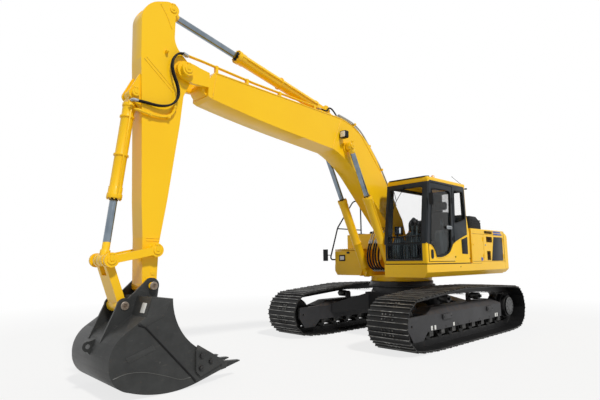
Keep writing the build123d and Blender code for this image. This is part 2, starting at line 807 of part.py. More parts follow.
def make_cab_frame():
    """Pillars, floor and walls of the cab, with the door opening and windows cut."""
    inner = CAB_LEFT - CAB_WALL
    with BuildPart() as cab:
        plate(CAB_OUTLINE, CAB_RIGHT, CAB_LEFT)
        front = [e for e in cab.edges() if e.center().X > 1100 and abs(e.center().Y - 912) > 400]
        fillet(front, 30)
        rear = [e for e in cab.edges() if e.center().X < -440 and abs(e.center().Y - 912) > 400]
        fillet(rear, 40)
        with BuildSketch(side(inner)) as hollow:
            with BuildLine():
                Polyline(*CAB_OUTLINE, close=True)
            make_face()
            offset(amount=-CAB_WALL, kind=Kind.INTERSECTION)
        extrude(hollow.sketch, amount=inner - CAB_RIGHT - CAB_WALL, mode=Mode.SUBTRACT)
        # open top under the roof
        block(-440 + CAB_WALL, 990, CAB_RIGHT + CAB_WALL, inner, 3000, 3070, mode=Mode.SUBTRACT)
        # door opening, its front edge leaning with the screen
        plate(door_outline(8.0), inner, CAB_LEFT, mode=Mode.SUBTRACT)
        contour(QUARTER_START, QUARTER_FORM, inner, CAB_LEFT, mode=Mode.SUBTRACT)
        plate(RIGHT_WINDOW, CAB_RIGHT, CAB_RIGHT + CAB_WALL, mode=Mode.SUBTRACT)
        block(900, 1300, *SCREEN_Y, SCREEN_LOW, SCREEN_HIGH, mode=Mode.SUBTRACT)
        block(-600, -380, *REAR_Y, *REAR_Z, mode=Mode.SUBTRACT)
        # vent low behind the door
        louvre(-400, -165, 1655, 1940, inner, CAB_LEFT, 7)
    cab.part.label = "cab_frame"
    return cab


def front_x(z):
    """Outer face of the cab's front at height z."""
    low, top = CAB_OUTLINE[1], CAB_OUTLINE[2]
    if z <= low[1]:
        return low[0]
    return low[0] + (top[0] - low[0]) * (z - low[1]) / (top[1] - low[1])


def door_outline(gap):
    """Door leaf outline grown by gap."""
    z0, z1 = DOOR_Z[0] - gap, DOOR_Z[1] + gap
    return (
        (DOOR_X[0] - gap, z0),
        (front_x(z0) - 75 + gap, z0),
        (front_x(1850) - 75 + gap, 1850),
        (front_x(z1) - 75 + gap, z1),
        (DOOR_X[0] - gap, z1),
    )


QUARTER_START = (65.0, 2945.0)
QUARTER_FORM = (
    (98.0, 2310.0),
    (85.0, 2270.0, 45.0, 2262.0),
    (-335.0, 2362.0),
    (-368.0, 2382.0, -374.0, 2430.0),
    (-310.0, 2900.0),
    (-295.0, 2933.0, -260.0, 2945.0),
)
RIGHT_WINDOW = ((1020.0, 1800.0), (870.0, 2970.0), (-360.0, 2970.0), (-400.0, 2250.0), (-100.0, 1800.0))


def make_cab_roof():
    """Roof panel of the cab with rounded corners and edges."""
    with BuildPart() as roof:
        block(-460, 1050, CAB_RIGHT, CAB_LEFT, 3060, 3130)
        fillet(roof.edges().filter_by(Axis.Z), 40)
        fillet(roof.edges().group_by(Axis.Z)[-1], 30)
    roof.part.label = "cab_roof"
    return roof


def make_cab_door():
    """Door leaf with its window cut out."""
    with BuildPart() as door:
        plate(door_outline(0.0), CAB_LEFT - 40, CAB_LEFT)
        contour(DOOR_GLASS_START, DOOR_GLASS_FORM, CAB_LEFT - 40, CAB_LEFT, mode=Mode.SUBTRACT)
    door.part.label = "cab_door"
    return door


def make_door_glass():
    """Pane of the cab door."""
    with BuildPart() as glass:
        contour(DOOR_GLASS_START, DOOR_GLASS_FORM, CAB_LEFT - 24, CAB_LEFT - 18)
    glass.part.label = "cab_door_glass"
    return glass


def make_cab_glass():
    """Fixed panes of the cab: screen, right, left rear and rear."""
    low = CAB_OUTLINE[1][0] - 22
    top = front_x(SCREEN_HIGH) - 22
    bend = CAB_OUTLINE[1][1]
    screen = (
        (low, SCREEN_LOW),
        (low + PANE, SCREEN_LOW),
        (low + PANE, bend),
        (top + PANE, SCREEN_HIGH),
        (top, SCREEN_HIGH),
        (low, bend),
    )
    rear = (
        (-434.0, REAR_Z[0]),
        (-434.0 + PANE, REAR_Z[0]),
        (-424.0 + PANE, REAR_Z[1]),
        (-424.0, REAR_Z[1]),
    )
    with BuildPart() as glass:
        plate(screen, *SCREEN_Y)
        plate(RIGHT_WINDOW, CAB_RIGHT + 18, CAB_RIGHT + 18 + PANE)
        contour(QUARTER_START, QUARTER_FORM, CAB_LEFT - 18 - PANE, CAB_LEFT - 18)
        plate(rear, *REAR_Y)
    glass.part.label = "cab_glass"
    return glass


def make_cab_mirror():
    """Mirror on the cab's left front pillar."""
    z = 2675
    with BuildPart() as mirror:
        block(1100, 1124, 1425, 1510, z - 115, z + 115)
        fillet(mirror.edges().filter_by(Axis.X), 20)
        disc((1052, z), CAB_LEFT, CAB_LEFT + 22, 10)
        bar((1052, CAB_LEFT + 16, z), (1112, 1450, z), 8)
    mirror.part.label = "cab_mirror"
    return mirror


def make_seat():
    """Operator's seat on its pedestal."""
    mid = 900.0
    floor = CAB_FLOOR + CAB_WALL
    with BuildPart() as seat:
        block(-80, 330, mid - 190, mid + 190, floor, floor + 230)
        block(-120, 420, mid - 260, mid + 260, floor + 230, floor + 370)
        plate(((-220, 1880), (-90, 1860), (-200, 2560), (-310, 2560)), mid - 250, mid + 250)
        plate(((-310, 2590), (-200, 2590), (-230, 2780), (-320, 2780)), mid - 140, mid + 140)
        plate(((-280, 2540), (-230, 2540), (-230, 2600), (-280, 2600)), mid - 60, mid + 60)
    seat.part.label = "seat"
    return seat


def make_consoles():
    """Armrest consoles with control levers, and travel levers at the front."""
    floor = CAB_FLOOR + CAB_WALL
    with BuildPart() as consoles:
        for y0, y1 in ((520.0, 620.0), (1180.0, 1290.0)):
            block(-150, 420, y0, y1, floor, 2110)
            block(330, 370, (y0 + y1) / 2 - 20, (y0 + y1) / 2 + 20, 2110, 2330)
        for y in (850.0, 950.0):
            block(840, 900, y - 35, y + 35, floor, floor + 60)
            plate(((860, floor + 60), (885, floor + 60), (825, 2240), (800, 2240)), y - 12, y + 12)
    consoles.part.label = "consoles"
    return consoles


# ---------------------------------------------------------------- boom, arm and bucket
BOOM_START = (60.0, 2020.0)
BOOM_BACK_REAR = (2150.0, 4300.0)
BOOM_BACK_FRONT = (5060.0, 4390.0)
BOOM_FORM = (
    # side view from the foot along the back to the end plate and home along the belly
    (200.0, 2410.0),
    (930.0, 3410.0),
    (1560.0, 4085.0, *BOOM_BACK_REAR),
    BOOM_BACK_FRONT,
    (5171.0, 4241.0),
    (5180.0, 3985.0),
    (5110.0, 3955.0),
    (4400.0, 3850.0, 3200.0, 3718.0),
    (2400.0, 3640.0),
    (1980.0, 3435.0, 1640.0, 3160.0),
    (520.0, 2060.0),
    (280.0, 1860.0),
    (120.0, 1850.0),
)
PIPE_ROUTE = (
    # x, z of the pipes over the boom's back
    (2760.0, 4371.0),
    (4300.0, 4428.0),
    (4900.0, 4472.0),
    (5280.0, 4500.0),
    (5530.0, 4512.0),
)


def level_at(x, run):
    """Height at x along a run of (x, z) places."""
    for (x0, z0), (x1, z1) in zip(run, run[1:]):
        if x <= x1:
            return z0 + (z1 - z0) * (x - x0) / (x1 - x0)
    return run[-1][1]


def make_boom():
    """Box boom: cranked box with its end plate, cast ears for the arm, foot boss and cylinder pins."""
    ear_in = ARM_HALF + 12
    ear_out = 222.0
    ear = (
        (5430.0, 4106.0),
        (5600.0, 4145.0),
        (5620.0, 4390.0),
        (5480.0, 4398.0, 5330.0, 4372.0),
        (5160.0, 4345.0),
    )
    with BuildPart() as boom:
        contour(BOOM_START, BOOM_FORM, -BOOM_HALF, BOOM_HALF)
        # round-nosed end plate between the ears
        disc((5130, 4130), -ear_in, ear_in, 130)
        for sign in (1, -1):
            y0, y1 = sorted((sign * ear_in, sign * ear_out))
            contour((5160.0, 4118.0), ear, y0, y1)
            disc(ARM_PIN, y0, y1, 135)
            y0, y1 = sorted((sign * ear_in, sign * 290.0))
            disc(ARM_PIN, y0, y1, 95)
            y0, y1 = sorted((sign * BOOM_HALF, sign * 255.0))
            disc(BOOM_CYL_EYE, y0, y1, 105)
            y0, y1 = sorted((sign * 62.0, sign * 92.0))
            plate(((2200, 4295), (2640, 4305), (2540, 4480), (2200, 4330)), y0, y1)
            disc(ARM_CYL_BASE, y0, y1, 95)
        disc(ARM_PIN, -ear_in, ear_in, PIN_RADIUS)
        disc(ARM_CYL_BASE, -100, 100, PIN_RADIUS)
        disc(BOOM_FOOT, -BRACKET_IN + 6, BRACKET_IN - 6, 115)
        disc(BOOM_FOOT, -400, 400, PIN_RADIUS + 10 + PIN_PLAY, mode=Mode.SUBTRACT)
    boom.part.label = "boom"
    return boom


def make_boom_pipes():
    """Steel pipes of the arm and bucket cylinders along the boom's back, with their clamps."""
    places = (178.0, 206.0)
    clamps = (2900.0, 3750.0, 4450.0, 5030.0)
    back = (BOOM_BACK_REAR, BOOM_BACK_FRONT)
    with BuildPart() as pipes:
        for y in places:
            pipe([(x, y, z) for x, z in PIPE_ROUTE], (900, 900, 500), 13)
        for x in clamps:
            top = level_at(x, PIPE_ROUTE) + 18
            clamp = (
                (x - 22, level_at(x - 22, back)),
                (x + 22, level_at(x + 22, back)),
                (x + 22, top),
                (x - 22, top),
            )
            plate(clamp, places[0] - 13, places[1] + 13)
    pipes.part.label = "boom_pipes"
    return pipes


def make_boom_lamp():
    """Work lamp on its bracket at the boom's left side."""
    with BuildPart() as lamp:
        block(2160, 2250, 245, 385, 3875, 4015)
        fillet(lamp.edges().filter_by(Axis.X), 22)
        block(2242, 2250, 259, 371, 3889, 4001, mode=Mode.SUBTRACT)
        block(2180, 2215, BOOM_HALF, 250, 3900, 3940)
    lamp.part.label = "boom_lamp"
    return lamp


ARM_START = (5870.0, 1200.0)
ARM_FORM = (
    # side view from the foot up the back to the top and down the front
    (5850.0, 1790.0),
    (5750.0, 2370.0),
    (5590.0, 3480.0),
    (5545.0, 3900.0),
    (5425.0, 4170.0),
    (5405.0, 4290.0, 5450.0, 4400.0),
    (5600.0, 4535.0),
    (5685.0, 4650.0, 5705.0, 4790.0),
    (5700.0, 5080.0),
    (5670.0, 5140.0),
    (5735.0, 5232.0, 5850.0, 5238.0),
    (5970.0, 5190.0),
    (6125.0, 5070.0, 6200.0, 4860.0),
    (6190.0, 4300.0),
    (6150.0, 3470.0),
    (6110.0, 2340.0),
    (6080.0, 1870.0),
    (6060.0, 1200.0),
)


def make_arm():
    """Box arm with the ears of the arm cylinder, the bucket cylinder bracket and the link bosses."""
    eye_half = 80.0
    with BuildPart() as arm:
        contour(ARM_START, ARM_FORM, -ARM_HALF, ARM_HALF)
        disc(ARM_PIN, -ARM_HALF - 8, ARM_HALF + 8, 140)
        disc(ARM_PIN, -200, 200, PIN_RADIUS + PIN_PLAY, mode=Mode.SUBTRACT)
        disc(BUCKET_PIN, -ARM_HALF - 12, ARM_HALF + 12, 105)
        for sign in (1, -1):
            y0, y1 = sorted((sign * ARM_HALF, sign * 212.0))
            disc(LINK_ARM_PIN, y0, y1, 85)
            y0, y1 = sorted((sign * 212.0, sign * 268.0))
            disc(LINK_ARM_PIN, y0, y1, PIN_RADIUS)
            y0, y1 = sorted((sign * 162.0, sign * 225.0))
            disc(BUCKET_PIN, y0, y1, PIN_RADIUS)
            y0, y1 = sorted((sign * eye_half, sign * ARM_HALF))
            disc(ARM_CYL_EYE, y0, y1, 92)
            y0, y1 = sorted((sign * 92.0, sign * 122.0))
            plate(((6100, 3500), (6100, 4150), (6200, 4050), (6322, 3800), (6270, 3704)), y0, y1)
            disc(BUCKET_CYL_BASE, y0, y1, 80)
        disc(BUCKET_CYL_BASE, -127, 127, PIN_RADIUS)
        # slot for the arm cylinder's eye
        slot = ((5600, 4960), (5900, 4960), (6240, 4985), (6240, 5300), (5600, 5300))
        plate(slot, -eye_half, eye_half, mode=Mode.SUBTRACT)
    arm.part.label = "arm"
    return arm


BUCKET_HALF = 610.0
BUCKET_SHELL = 30.0
LIFTING_EYE = (6645.0, 560.0)
EYE_RADIUS = 28.0
EYE_HALF = 20.0
BUCKET_START = (6148.0, 1136.0)
BUCKET_FORM = (
    # side view of the side plates, down the back, along the bottom to the lip and up the mouth
    (6215.0, 907.0),
    (6461.0, 736.0),
    (6575.0, 612.0, 6619.0, 399.0),
    (6545.0, 200.0, 6386.0, 98.0),
    (5920.0, 4.0, 5508.0, 50.0),
    (5146.0, 150.0),
    (5180.0, 200.0),
    (5508.0, 470.0),
    (5745.0, 700.0, 5870.0, 1104.0),
)


def make_bucket():
    """Welded bucket: curved wrapper, side plates, hanger plates and lifting eye."""
    mouth = ((5150, 180), (5514, 82), (6050, 500), (5874, 1073), (5700, 1060), (5000, 600))
    inner = BUCKET_HALF - BUCKET_SHELL
    with BuildPart() as bucket:
        contour(BUCKET_START, BUCKET_FORM, -BUCKET_HALF, BUCKET_HALF)
        with BuildSketch(side(inner)) as hollow:
            with BuildLine():
                loop(BUCKET_START, BUCKET_FORM)
            make_face()
            offset(amount=-BUCKET_SHELL, kind=Kind.INTERSECTION)
            with BuildLine():
                Polyline(*mouth, close=True)
            make_face()
        extrude(hollow.sketch, amount=2 * inner, mode=Mode.SUBTRACT)
        for sign in (1, -1):
            y0, y1 = sorted((sign * 178.0, sign * 213.0))
            contour(
                (5880, 1100),
                (
                    (5868, 1200),
                    (5900, 1330),
                    (6010, 1338),
                    (6130, 1225, 6262, 1102),
                    (6384, 1050),
                    (6577, 622),
                    (6461, 732),
                    (6214, 903),
                    (6148, 1132),
                ),
                y0,
                y1,
            )
            disc(BUCKET_PIN, y0, y1, 100)
            disc(LINK_BUCKET_PIN, y0, y1, 95)
            disc(BUCKET_PIN, y0, y1, PIN_RADIUS + PIN_PLAY, mode=Mode.SUBTRACT)
        # lifting eye on the back of the wrapper
        plate(((6560, 640), (6650, 615), (6650, 505), (6590, 420)), -EYE_HALF, EYE_HALF)
        disc(LIFTING_EYE, -EYE_HALF, EYE_HALF, 62)
        disc(LIFTING_EYE, -EYE_HALF, EYE_HALF, EYE_RADIUS, mode=Mode.SUBTRACT)
    bucket.part.label = "bucket"
    return bucket


TOOTH_COUNT = 5
TOOTH_SPAN = 1050.0


def make_bucket_edge():
    """Five tapered teeth on adapters that straddle the lip, and the two side cutters."""
    adapter = (
        # side view (x, z): lip's end, top strap, nose and underside
        (5145.0, 151.0),
        (5149.0, 182.0),
        (5330.0, 132.5),
        (5330.0, 156.0),
        (5215.0, 214.0),
        (5130.0, 240.0),
        (5030.0, 236.0),
        (5050.0, 146.0),
        (5130.0, 134.0),
    )
    cutter = ((5542, 187), (5548, 436), (5517, 506), (5300, 373), (5130, 262), (5170, 226), (5475, 120))
    reach = TOOTH_SPAN / (TOOTH_COUNT - 1)
    root = Plane(origin=(5045, 0, 191), x_dir=(0, 1, 0), z_dir=(-0.985, 0, 0.06))
    with BuildPart() as edge:
        for k in range(TOOTH_COUNT):
            y = -TOOTH_SPAN / 2 + k * reach
            plate(adapter, y - 48, y + 48)
            with BuildSketch(root) as broad:
                with Locations((y, 0)):
                    Rectangle(84, 78)
            with BuildSketch(root.offset(228)) as narrow:
                with Locations((y, 0)):
                    Rectangle(66, 12)
            loft([broad.sketch, narrow.sketch])
        for sign in (1, -1):
            y0, y1 = sorted((sign * BUCKET_HALF, sign * (BUCKET_HALF + 28)))
            plate(cutter, y0, y1)
    edge.part.label = "bucket_edge"
    return edge


def make_tipping_links():
    """Two links from the arm to the tip pin, outside the arm."""
    with BuildPart() as links:
        for sign in (1, -1):
            y0, y1 = sorted((sign * 218.0, sign * 262.0))
            strap(LINK_ARM_PIN, LINK_TIP_PIN, 50, y0, y1)
            disc(LINK_ARM_PIN, y0, y1, 85)
            disc(LINK_TIP_PIN, y0, y1, 90)
            disc(LINK_ARM_PIN, y0, y1, PIN_RADIUS + PIN_PLAY, mode=Mode.SUBTRACT)
            # half of the tip pin, short of the cylinder's eye
            y0, y1 = sorted((sign * 78.0, sign * 218.0))
            disc(LINK_TIP_PIN, y0, y1, PIN_RADIUS)
    links.part.label = "tipping_links"
    return links


def make_bucket_link():
    """Link from the tip pin to the bucket, forked at the cylinder's eye."""
    with BuildPart() as link:
        strap(LINK_TIP_PIN, LINK_BUCKET_PIN, 50, -150, 150)
        disc(LINK_TIP_PIN, -150, 150, 82)
        disc(LINK_BUCKET_PIN, -165, 165, 80)
        disc(LINK_TIP_PIN, -76, 76, 190, mode=Mode.SUBTRACT)
        disc(LINK_TIP_PIN, -160, 160, PIN_RADIUS + PIN_PLAY, mode=Mode.SUBTRACT)
    link.part.label = "bucket_link"
    return link


# ---------------------------------------------------------------- cylinders
def make_barrel(name, base, eye, places, length, radius, rod_radius, eye_half, neck, bands, lip):
    """Cylinder barrel with its base eye, band rings, side pipe and gland flange, open for the rod."""
    with BuildPart() as barrel:
        for y in places:
            axis = along(base, eye, y)
            rounds(axis, ((neck, length, radius), (neck, neck + 45, radius + 8)))
            rounds(axis, ((length - 90, length, radius + lip / 2), (length, length + 60, radius + lip)))
            for place in bands:
                rounds(axis, ((place, place + 22, radius + lip),))
            with BuildSketch(axis.offset(50)) as shank:
                Rectangle(2 * eye_half, 1.3 * radius)
            extrude(shank.sketch, amount=neck - 49)
            disc(base, y - eye_half, y + eye_half, radius - 10)
            # oil pipe to the rod end, on the barrel's outer side
            out = 1 if y >= 0 else -1
            with BuildSketch(axis.offset(neck + 30)) as line:
                with Locations((out * (radius + 9), 0)):
                    Circle(11)
            extrude(line.sketch, amount=length - neck - 30)
            disc(base, y - eye_half - 5, y + eye_half + 5, PIN_RADIUS + PIN_PLAY, mode=Mode.SUBTRACT)
            rounds(axis, ((neck + 20, length + 70, rod_radius + 2),), mode=Mode.SUBTRACT)
    barrel.part.label = name
    return barrel


def make_rod(name, base, eye, places, reach, rod_radius, eye_radius, eye_half):
    """Piston rod with its eye and collar; reach is how far it runs back from the eye into the barrel."""
    with BuildPart() as rod:
        for y in places:
            axis = along(eye, base, y)
            near = eye_radius - 20
            rounds(axis, ((near, reach, rod_radius), (near, near + 65, rod_radius + 14)))
            disc(eye, y - eye_half, y + eye_half, eye_radius)
    rod.part.label = name
    return rod


BOOM_CYL = dict(base=BOOM_CYL_BASE, eye=BOOM_CYL_EYE, places=(BOOM_CYL_Y, -BOOM_CYL_Y))
ARM_CYL = dict(base=ARM_CYL_BASE, eye=ARM_CYL_EYE, places=(0.0,))
BUCKET_CYL = dict(base=BUCKET_CYL_BASE, eye=LINK_TIP_PIN, places=(0.0,))


BOOM_BARREL = dict(length=1640, radius=88, rod_radius=50, eye_half=50, neck=150, bands=(700,), lip=10)
BOOM_ROD = dict(reach=1560, rod_radius=50, eye_radius=80, eye_half=55)
ARM_BARREL = dict(length=2060, radius=95, rod_radius=55, eye_half=58, neck=230, bands=(1150,), lip=18)
ARM_ROD = dict(reach=2000, rod_radius=55, eye_radius=85, eye_half=60)
BUCKET_BARREL = dict(length=1370, radius=80, rod_radius=48, eye_half=80, neck=130, bands=(310, 840), lip=16)
BUCKET_ROD = dict(reach=1300, rod_radius=48, eye_radius=80, eye_half=60)


def make_all():
    """Every piece of the machine, in the machine frame."""
    pieces = [make_car_body(), make_slew_ring(), make_sprockets(), make_idlers(), make_rollers()]
    for word, y in (("left", TRACK_Y), ("right", -TRACK_Y)):
        pieces.append(make_track("track_" + word, y))
        pieces.append(make_track_frame("track_frame_" + word, y))
    pieces += [make_revolving_frame(), make_counterweight(), make_body_left(), make_body_right()]
    pieces += [make_tanks(), make_centre_cover(), make_engine_hood(), make_engine(), make_exhaust()]
    pieces += [make_cooling_pack(), make_pump(), make_swing_motor()]
    pieces += [make_toolbox(), make_toolbox_lid(), make_front_lamp(), make_handrails()]
    for name, front, rear, vents in LEFT_DOORS:
        pieces.append(make_side_door(name, front, rear, 1, vents))
    pieces.append(make_side_door(*RIGHT_DOOR, -1, ()))
    pieces += [make_cab_frame(), make_cab_roof(), make_cab_door(), make_door_glass()]
    pieces += [make_cab_glass(), make_cab_mirror(), make_seat(), make_consoles()]
    pieces += [make_boom(), make_boom_pipes(), make_boom_lamp(), make_arm()]
    pieces += [make_bucket(), make_bucket_edge(), make_tipping_links(), make_bucket_link()]
    pieces.append(make_barrel("boom_cylinder_barrels", **BOOM_CYL, **BOOM_BARREL))
    pieces.append(make_rod("boom_cylinder_rods", **BOOM_CYL, **BOOM_ROD))
    pieces.append(make_barrel("arm_cylinder_barrel", **ARM_CYL, **ARM_BARREL))
    pieces.append(make_rod("arm_cylinder_rod", **ARM_CYL, **ARM_ROD))
    pieces.append(make_barrel("bucket_cylinder_barrel", **BUCKET_CYL, **BUCKET_BARREL))
    pieces.append(make_rod("bucket_cylinder_rod", **BUCKET_CYL, **BUCKET_ROD))
    return pieces


PIECES = make_all()
BOXES = [piece.part.bounding_box() for piece in PIECES]
CENTRE_X = (min(b.min.X for b in BOXES) + max(b.max.X for b in BOXES)) / 2
CENTRE_Y = (min(b.min.Y for b in BOXES) + max(b.max.Y for b in BOXES)) / 2
GROUND_Z = min(b.min.Z for b in BOXES)

if __name__ == "__main__":
    os.makedirs("parts", exist_ok=True)
    for piece in PIECES:
        name = piece.part.label
        placed = piece.part.moved(Location((-CENTRE_X, -CENTRE_Y, -GROUND_Z)))
        placed.label = name
        export_step(placed, "parts/" + name + ".step")
    print("pieces", len(PIECES), "centre", CENTRE_X, CENTRE_Y, GROUND_Z)
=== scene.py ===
"""Finishes, fittings, studio and camera of the crawler excavator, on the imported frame."""

import json
from math import cos, pi, radians, sin

import bmesh
import bpy
from mathutils import Matrix, Vector


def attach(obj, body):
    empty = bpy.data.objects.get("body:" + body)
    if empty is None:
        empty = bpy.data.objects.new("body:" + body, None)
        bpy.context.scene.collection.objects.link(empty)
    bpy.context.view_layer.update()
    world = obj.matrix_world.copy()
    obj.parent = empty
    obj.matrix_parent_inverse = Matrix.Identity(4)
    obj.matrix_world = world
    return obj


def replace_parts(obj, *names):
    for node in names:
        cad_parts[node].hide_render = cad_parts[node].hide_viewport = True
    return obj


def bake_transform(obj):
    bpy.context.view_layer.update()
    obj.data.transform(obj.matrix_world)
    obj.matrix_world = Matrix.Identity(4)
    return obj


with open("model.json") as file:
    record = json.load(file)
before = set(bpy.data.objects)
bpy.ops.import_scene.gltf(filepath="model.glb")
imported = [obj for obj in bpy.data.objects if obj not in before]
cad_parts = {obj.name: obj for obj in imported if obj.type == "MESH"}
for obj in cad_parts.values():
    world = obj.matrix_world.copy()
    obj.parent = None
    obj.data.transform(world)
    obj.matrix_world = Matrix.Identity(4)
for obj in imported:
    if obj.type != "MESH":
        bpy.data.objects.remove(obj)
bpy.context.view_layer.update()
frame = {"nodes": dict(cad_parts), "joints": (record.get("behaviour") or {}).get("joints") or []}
SWING = Vector(next(joint["pos_m"] for joint in frame["joints"] if joint["name"] == "swing"))
SWING_FOOT = Vector((SWING.x, SWING.y, 0))
AHEAD, LEFT, RIGHT, UP = (1, 0, 0), (0, 1, 0), (0, -1, 0), (0, 0, 1)


def at(x, y, z):
    """Point given from the swing axis on the ground: forward, left, up."""
    return Vector((SWING.x + x, SWING.y + y, z))


YELLOW, YELLOW_SHADE = "ffcb12", "fcc50e"
SOFT_CORNER = 0.004
BENT_CORNER = radians(35)
SHARP_CORNER = radians(38)
WELD_GAP = 0.00002


# ---- shader writing
def hue(code):
    """Linear colour of a six digit code."""
    parts = [int(code[k : k + 2], 16) / 255 for k in (0, 2, 4)]
    return tuple(c / 12.92 if c <= 0.04045 else ((c + 0.055) / 1.055) ** 2.4 for c in parts) + (1.0,)


class Value:
    """A shader socket; arithmetic on it adds Math nodes."""

    def __init__(self, nodes, socket):
        self.nodes, self.socket = nodes, socket

    def maths(self, operation, first, second):
        return self.nodes.add("Math", {"operation": operation}, {0: first, 1: second})

    def __add__(self, other):
        return self.maths("ADD", self, other)

    def __sub__(self, other):
        return self.maths("SUBTRACT", self, other)

    def __mul__(self, other):
        return self.maths("MULTIPLY", self, other)

    def __pow__(self, other):
        return self.maths("POWER", self, other)

    def __radd__(self, other):
        return self.maths("ADD", other, self)

    def __rsub__(self, other):
        return self.maths("SUBTRACT", other, self)

    def __rmul__(self, other):
        return self.maths("MULTIPLY", other, self)


class Nodes:
    """Nodes of one tree, each from one call."""

    def __init__(self, tree):
        self.tree = tree

    def feed(self, socket, value):
        if isinstance(value, Value):
            self.tree.links.new(value.socket, socket)
        else:
            socket.default_value = value

    def add(self, kind, settings=None, inputs=None, output=0):
        """A node of a type, its settings first, then its sockets."""
        node = self.tree.nodes.new("ShaderNode" + kind)
        for name, value in (settings or {}).items():
            setattr(node, name, value)
        for name, value in (inputs or {}).items():
            self.feed(node.inputs[name], value)
        return Value(self, node.outputs[output]) if node.outputs else None

    def greater(self, first, second):
        return self.add("Math", {"operation": "MAXIMUM"}, {0: first, 1: second})

    def whitened(self, look, white, strength=1.0):
        """A look that camera, mirror and glass rays see as white."""
        camera, window, mirror = (
            self.add("LightPath", output=f"Is {ray} Ray") for ray in ("Camera", "Transmission", "Glossy")
        )
        seen = self.greater(self.greater(camera, window), mirror)
        return self.add("MixShader", {}, {0: seen * strength, 1: look, 2: white})


class Finish(Nodes):
    """One procedural material, written node by node."""

    def __init__(self, name, constants):
        self.material = bpy.data.materials.new(name)
        self.material.use_nodes = True
        super().__init__(self.material.node_tree)
        self.shader = self.tree.nodes["Principled BSDF"]
        self.set(constants)
        self.place = self.add("TexCoord", output="Object")

    def set(self, values):
        """Values or links of the shader's own sockets."""
        for name, value in values.items():
            self.feed(self.shader.inputs[name], value)

    def noise(self, scale, detail=3.0, rough=0.5, place=None):
        values = {"Vector": place or self.place, "Scale": scale, "Detail": detail, "Roughness": rough}
        return self.add("TexNoise", {}, values)

    def axis(self, letter, vector=None):
        """One of a vector's three parts: those of the place, unless another vector is given."""
        return self.add("SeparateXYZ", {}, {"Vector": vector or self.place}, output=letter)

    def stretched(self, x, y, z):
        """Object coordinates scaled along each axis."""
        return self.add("Mapping", {}, {"Vector": self.place, "Scale": (x, y, z)})

    def rise(self, value, low, high):
        """0 below low and 1 above high."""
        return self.add("MapRange", {"clamp": True}, {"Value": value, "From Min": low, "From Max": high})

    def mix(self, mask, first, second):
        """Colour between two colours."""
        return self.add("Mix", {"data_type": "RGBA"}, {0: mask, 6: first, 7: second}, output=2)

    def clouded(self, cloud, body, shade, low=0.3, high=0.7):
        """Base colour that drifts from a body to a shade."""
        return self.mix(self.rise(cloud, low, high), hue(body), hue(shade))

    def edges(self, low=0.52, high=0.62):
        """1 on worn outer corners."""
        return self.rise(self.add("NewGeometry", output="Pointiness"), low, high)

    def upward(self, low=0.2, high=0.9):
        """1 on faces that look up."""
        return self.rise(self.axis("Z", self.add("NewGeometry", output="Normal")), low, high)

    def relief(self, depth, height, strength=1.0):
        """Bump of a height field, its depth in metres."""
        bump = self.add("Bump", {}, {"Height": height, "Distance": depth, "Strength": strength})
        self.set({"Normal": bump})
        return self


def gloss_paint(name, body, shade, dust="9b8a6a", dusty=0.12):
    """Sprayed enamel: faint cloudiness, orange peel and a little dust low down."""
    f = Finish(name, {"Specular IOR Level": 0.3, "Coat Roughness": 0.12})
    cloud = f.noise(0.9, 4.0, 0.55)
    speck = f.noise(38.0, 5.0, 0.6)
    base = f.clouded(cloud, body, shade, 0.35)
    film = f.rise(speck, 0.5, 0.8) * f.upward(0.3, 1.0) * dusty
    chips = f.edges(0.54, 0.66) * f.rise(f.noise(60.0, 3.0), 0.52, 0.6) * 0.35
    base = f.mix(film, base, hue(dust))
    base = f.mix(chips, base, hue("8a7a4e"))
    f.set({"Base Color": base, "Roughness": 0.3 + 0.12 * speck + 0.2 * film, "Coat Weight": 0.14 - 0.1 * film})
    return f.relief(0.0006, f.noise(240.0, 2.0), 0.25).material


def chassis_paint(name, body, shade, dust_colour="7a5a38", dusty=0.5, rough=0.42):
    """Dark frame paint with rusty dust lying on ledges."""
    f = Finish(name, {"Specular IOR Level": 0.28})
    cloud = f.noise(2.2, 5.0, 0.6)
    grit = f.noise(90.0, 4.0, 0.65)
    base = f.clouded(cloud, body, shade)
    dust = f.upward(0.2, 0.9) * f.rise(f.noise(11.0, 5.0, 0.6), 0.42, 0.7) * dusty
    rub = f.edges() * f.rise(grit, 0.4, 0.6)
    base = f.mix(dust, base, hue(dust_colour))
    base = f.mix(rub * 0.4, base, hue("8d8d8b"))
    f.set({"Base Color": base, "Roughness": rough + 0.2 * grit + 0.25 * dust})
    return f.relief(0.0008, grit, 0.3).material


def shoe_steel():
    """Black track steel, its grouser edges rubbed bright and a little rust between them."""
    f = Finish("track_steel", {"Specular IOR Level": 0.3})
    grit = f.noise(70.0, 5.0, 0.65)
    streak = f.noise(14.0, 4.0, 0.6, f.stretched(1.0, 0.25, 1.0))
    rubbed = f.edges(0.51, 0.6) * f.rise(streak, 0.38, 0.62)
    rust = f.rise(f.noise(9.0, 6.0, 0.7), 0.6, 0.72) * 0.5
    base = f.clouded(streak, "0f0f10", "1b1b1c", high=0.75)
    base = f.mix(rust * 0.5, base, hue("4a3524"))
    base = f.mix(rubbed * 0.7, base, hue("8f8e8b"))
    f.set({"Base Color": base, "Metallic": 0.1 + 0.5 * rubbed, "Roughness": 0.34 + 0.25 * grit - 0.12 * rubbed})
    return f.relief(0.0012, grit, 0.4).material


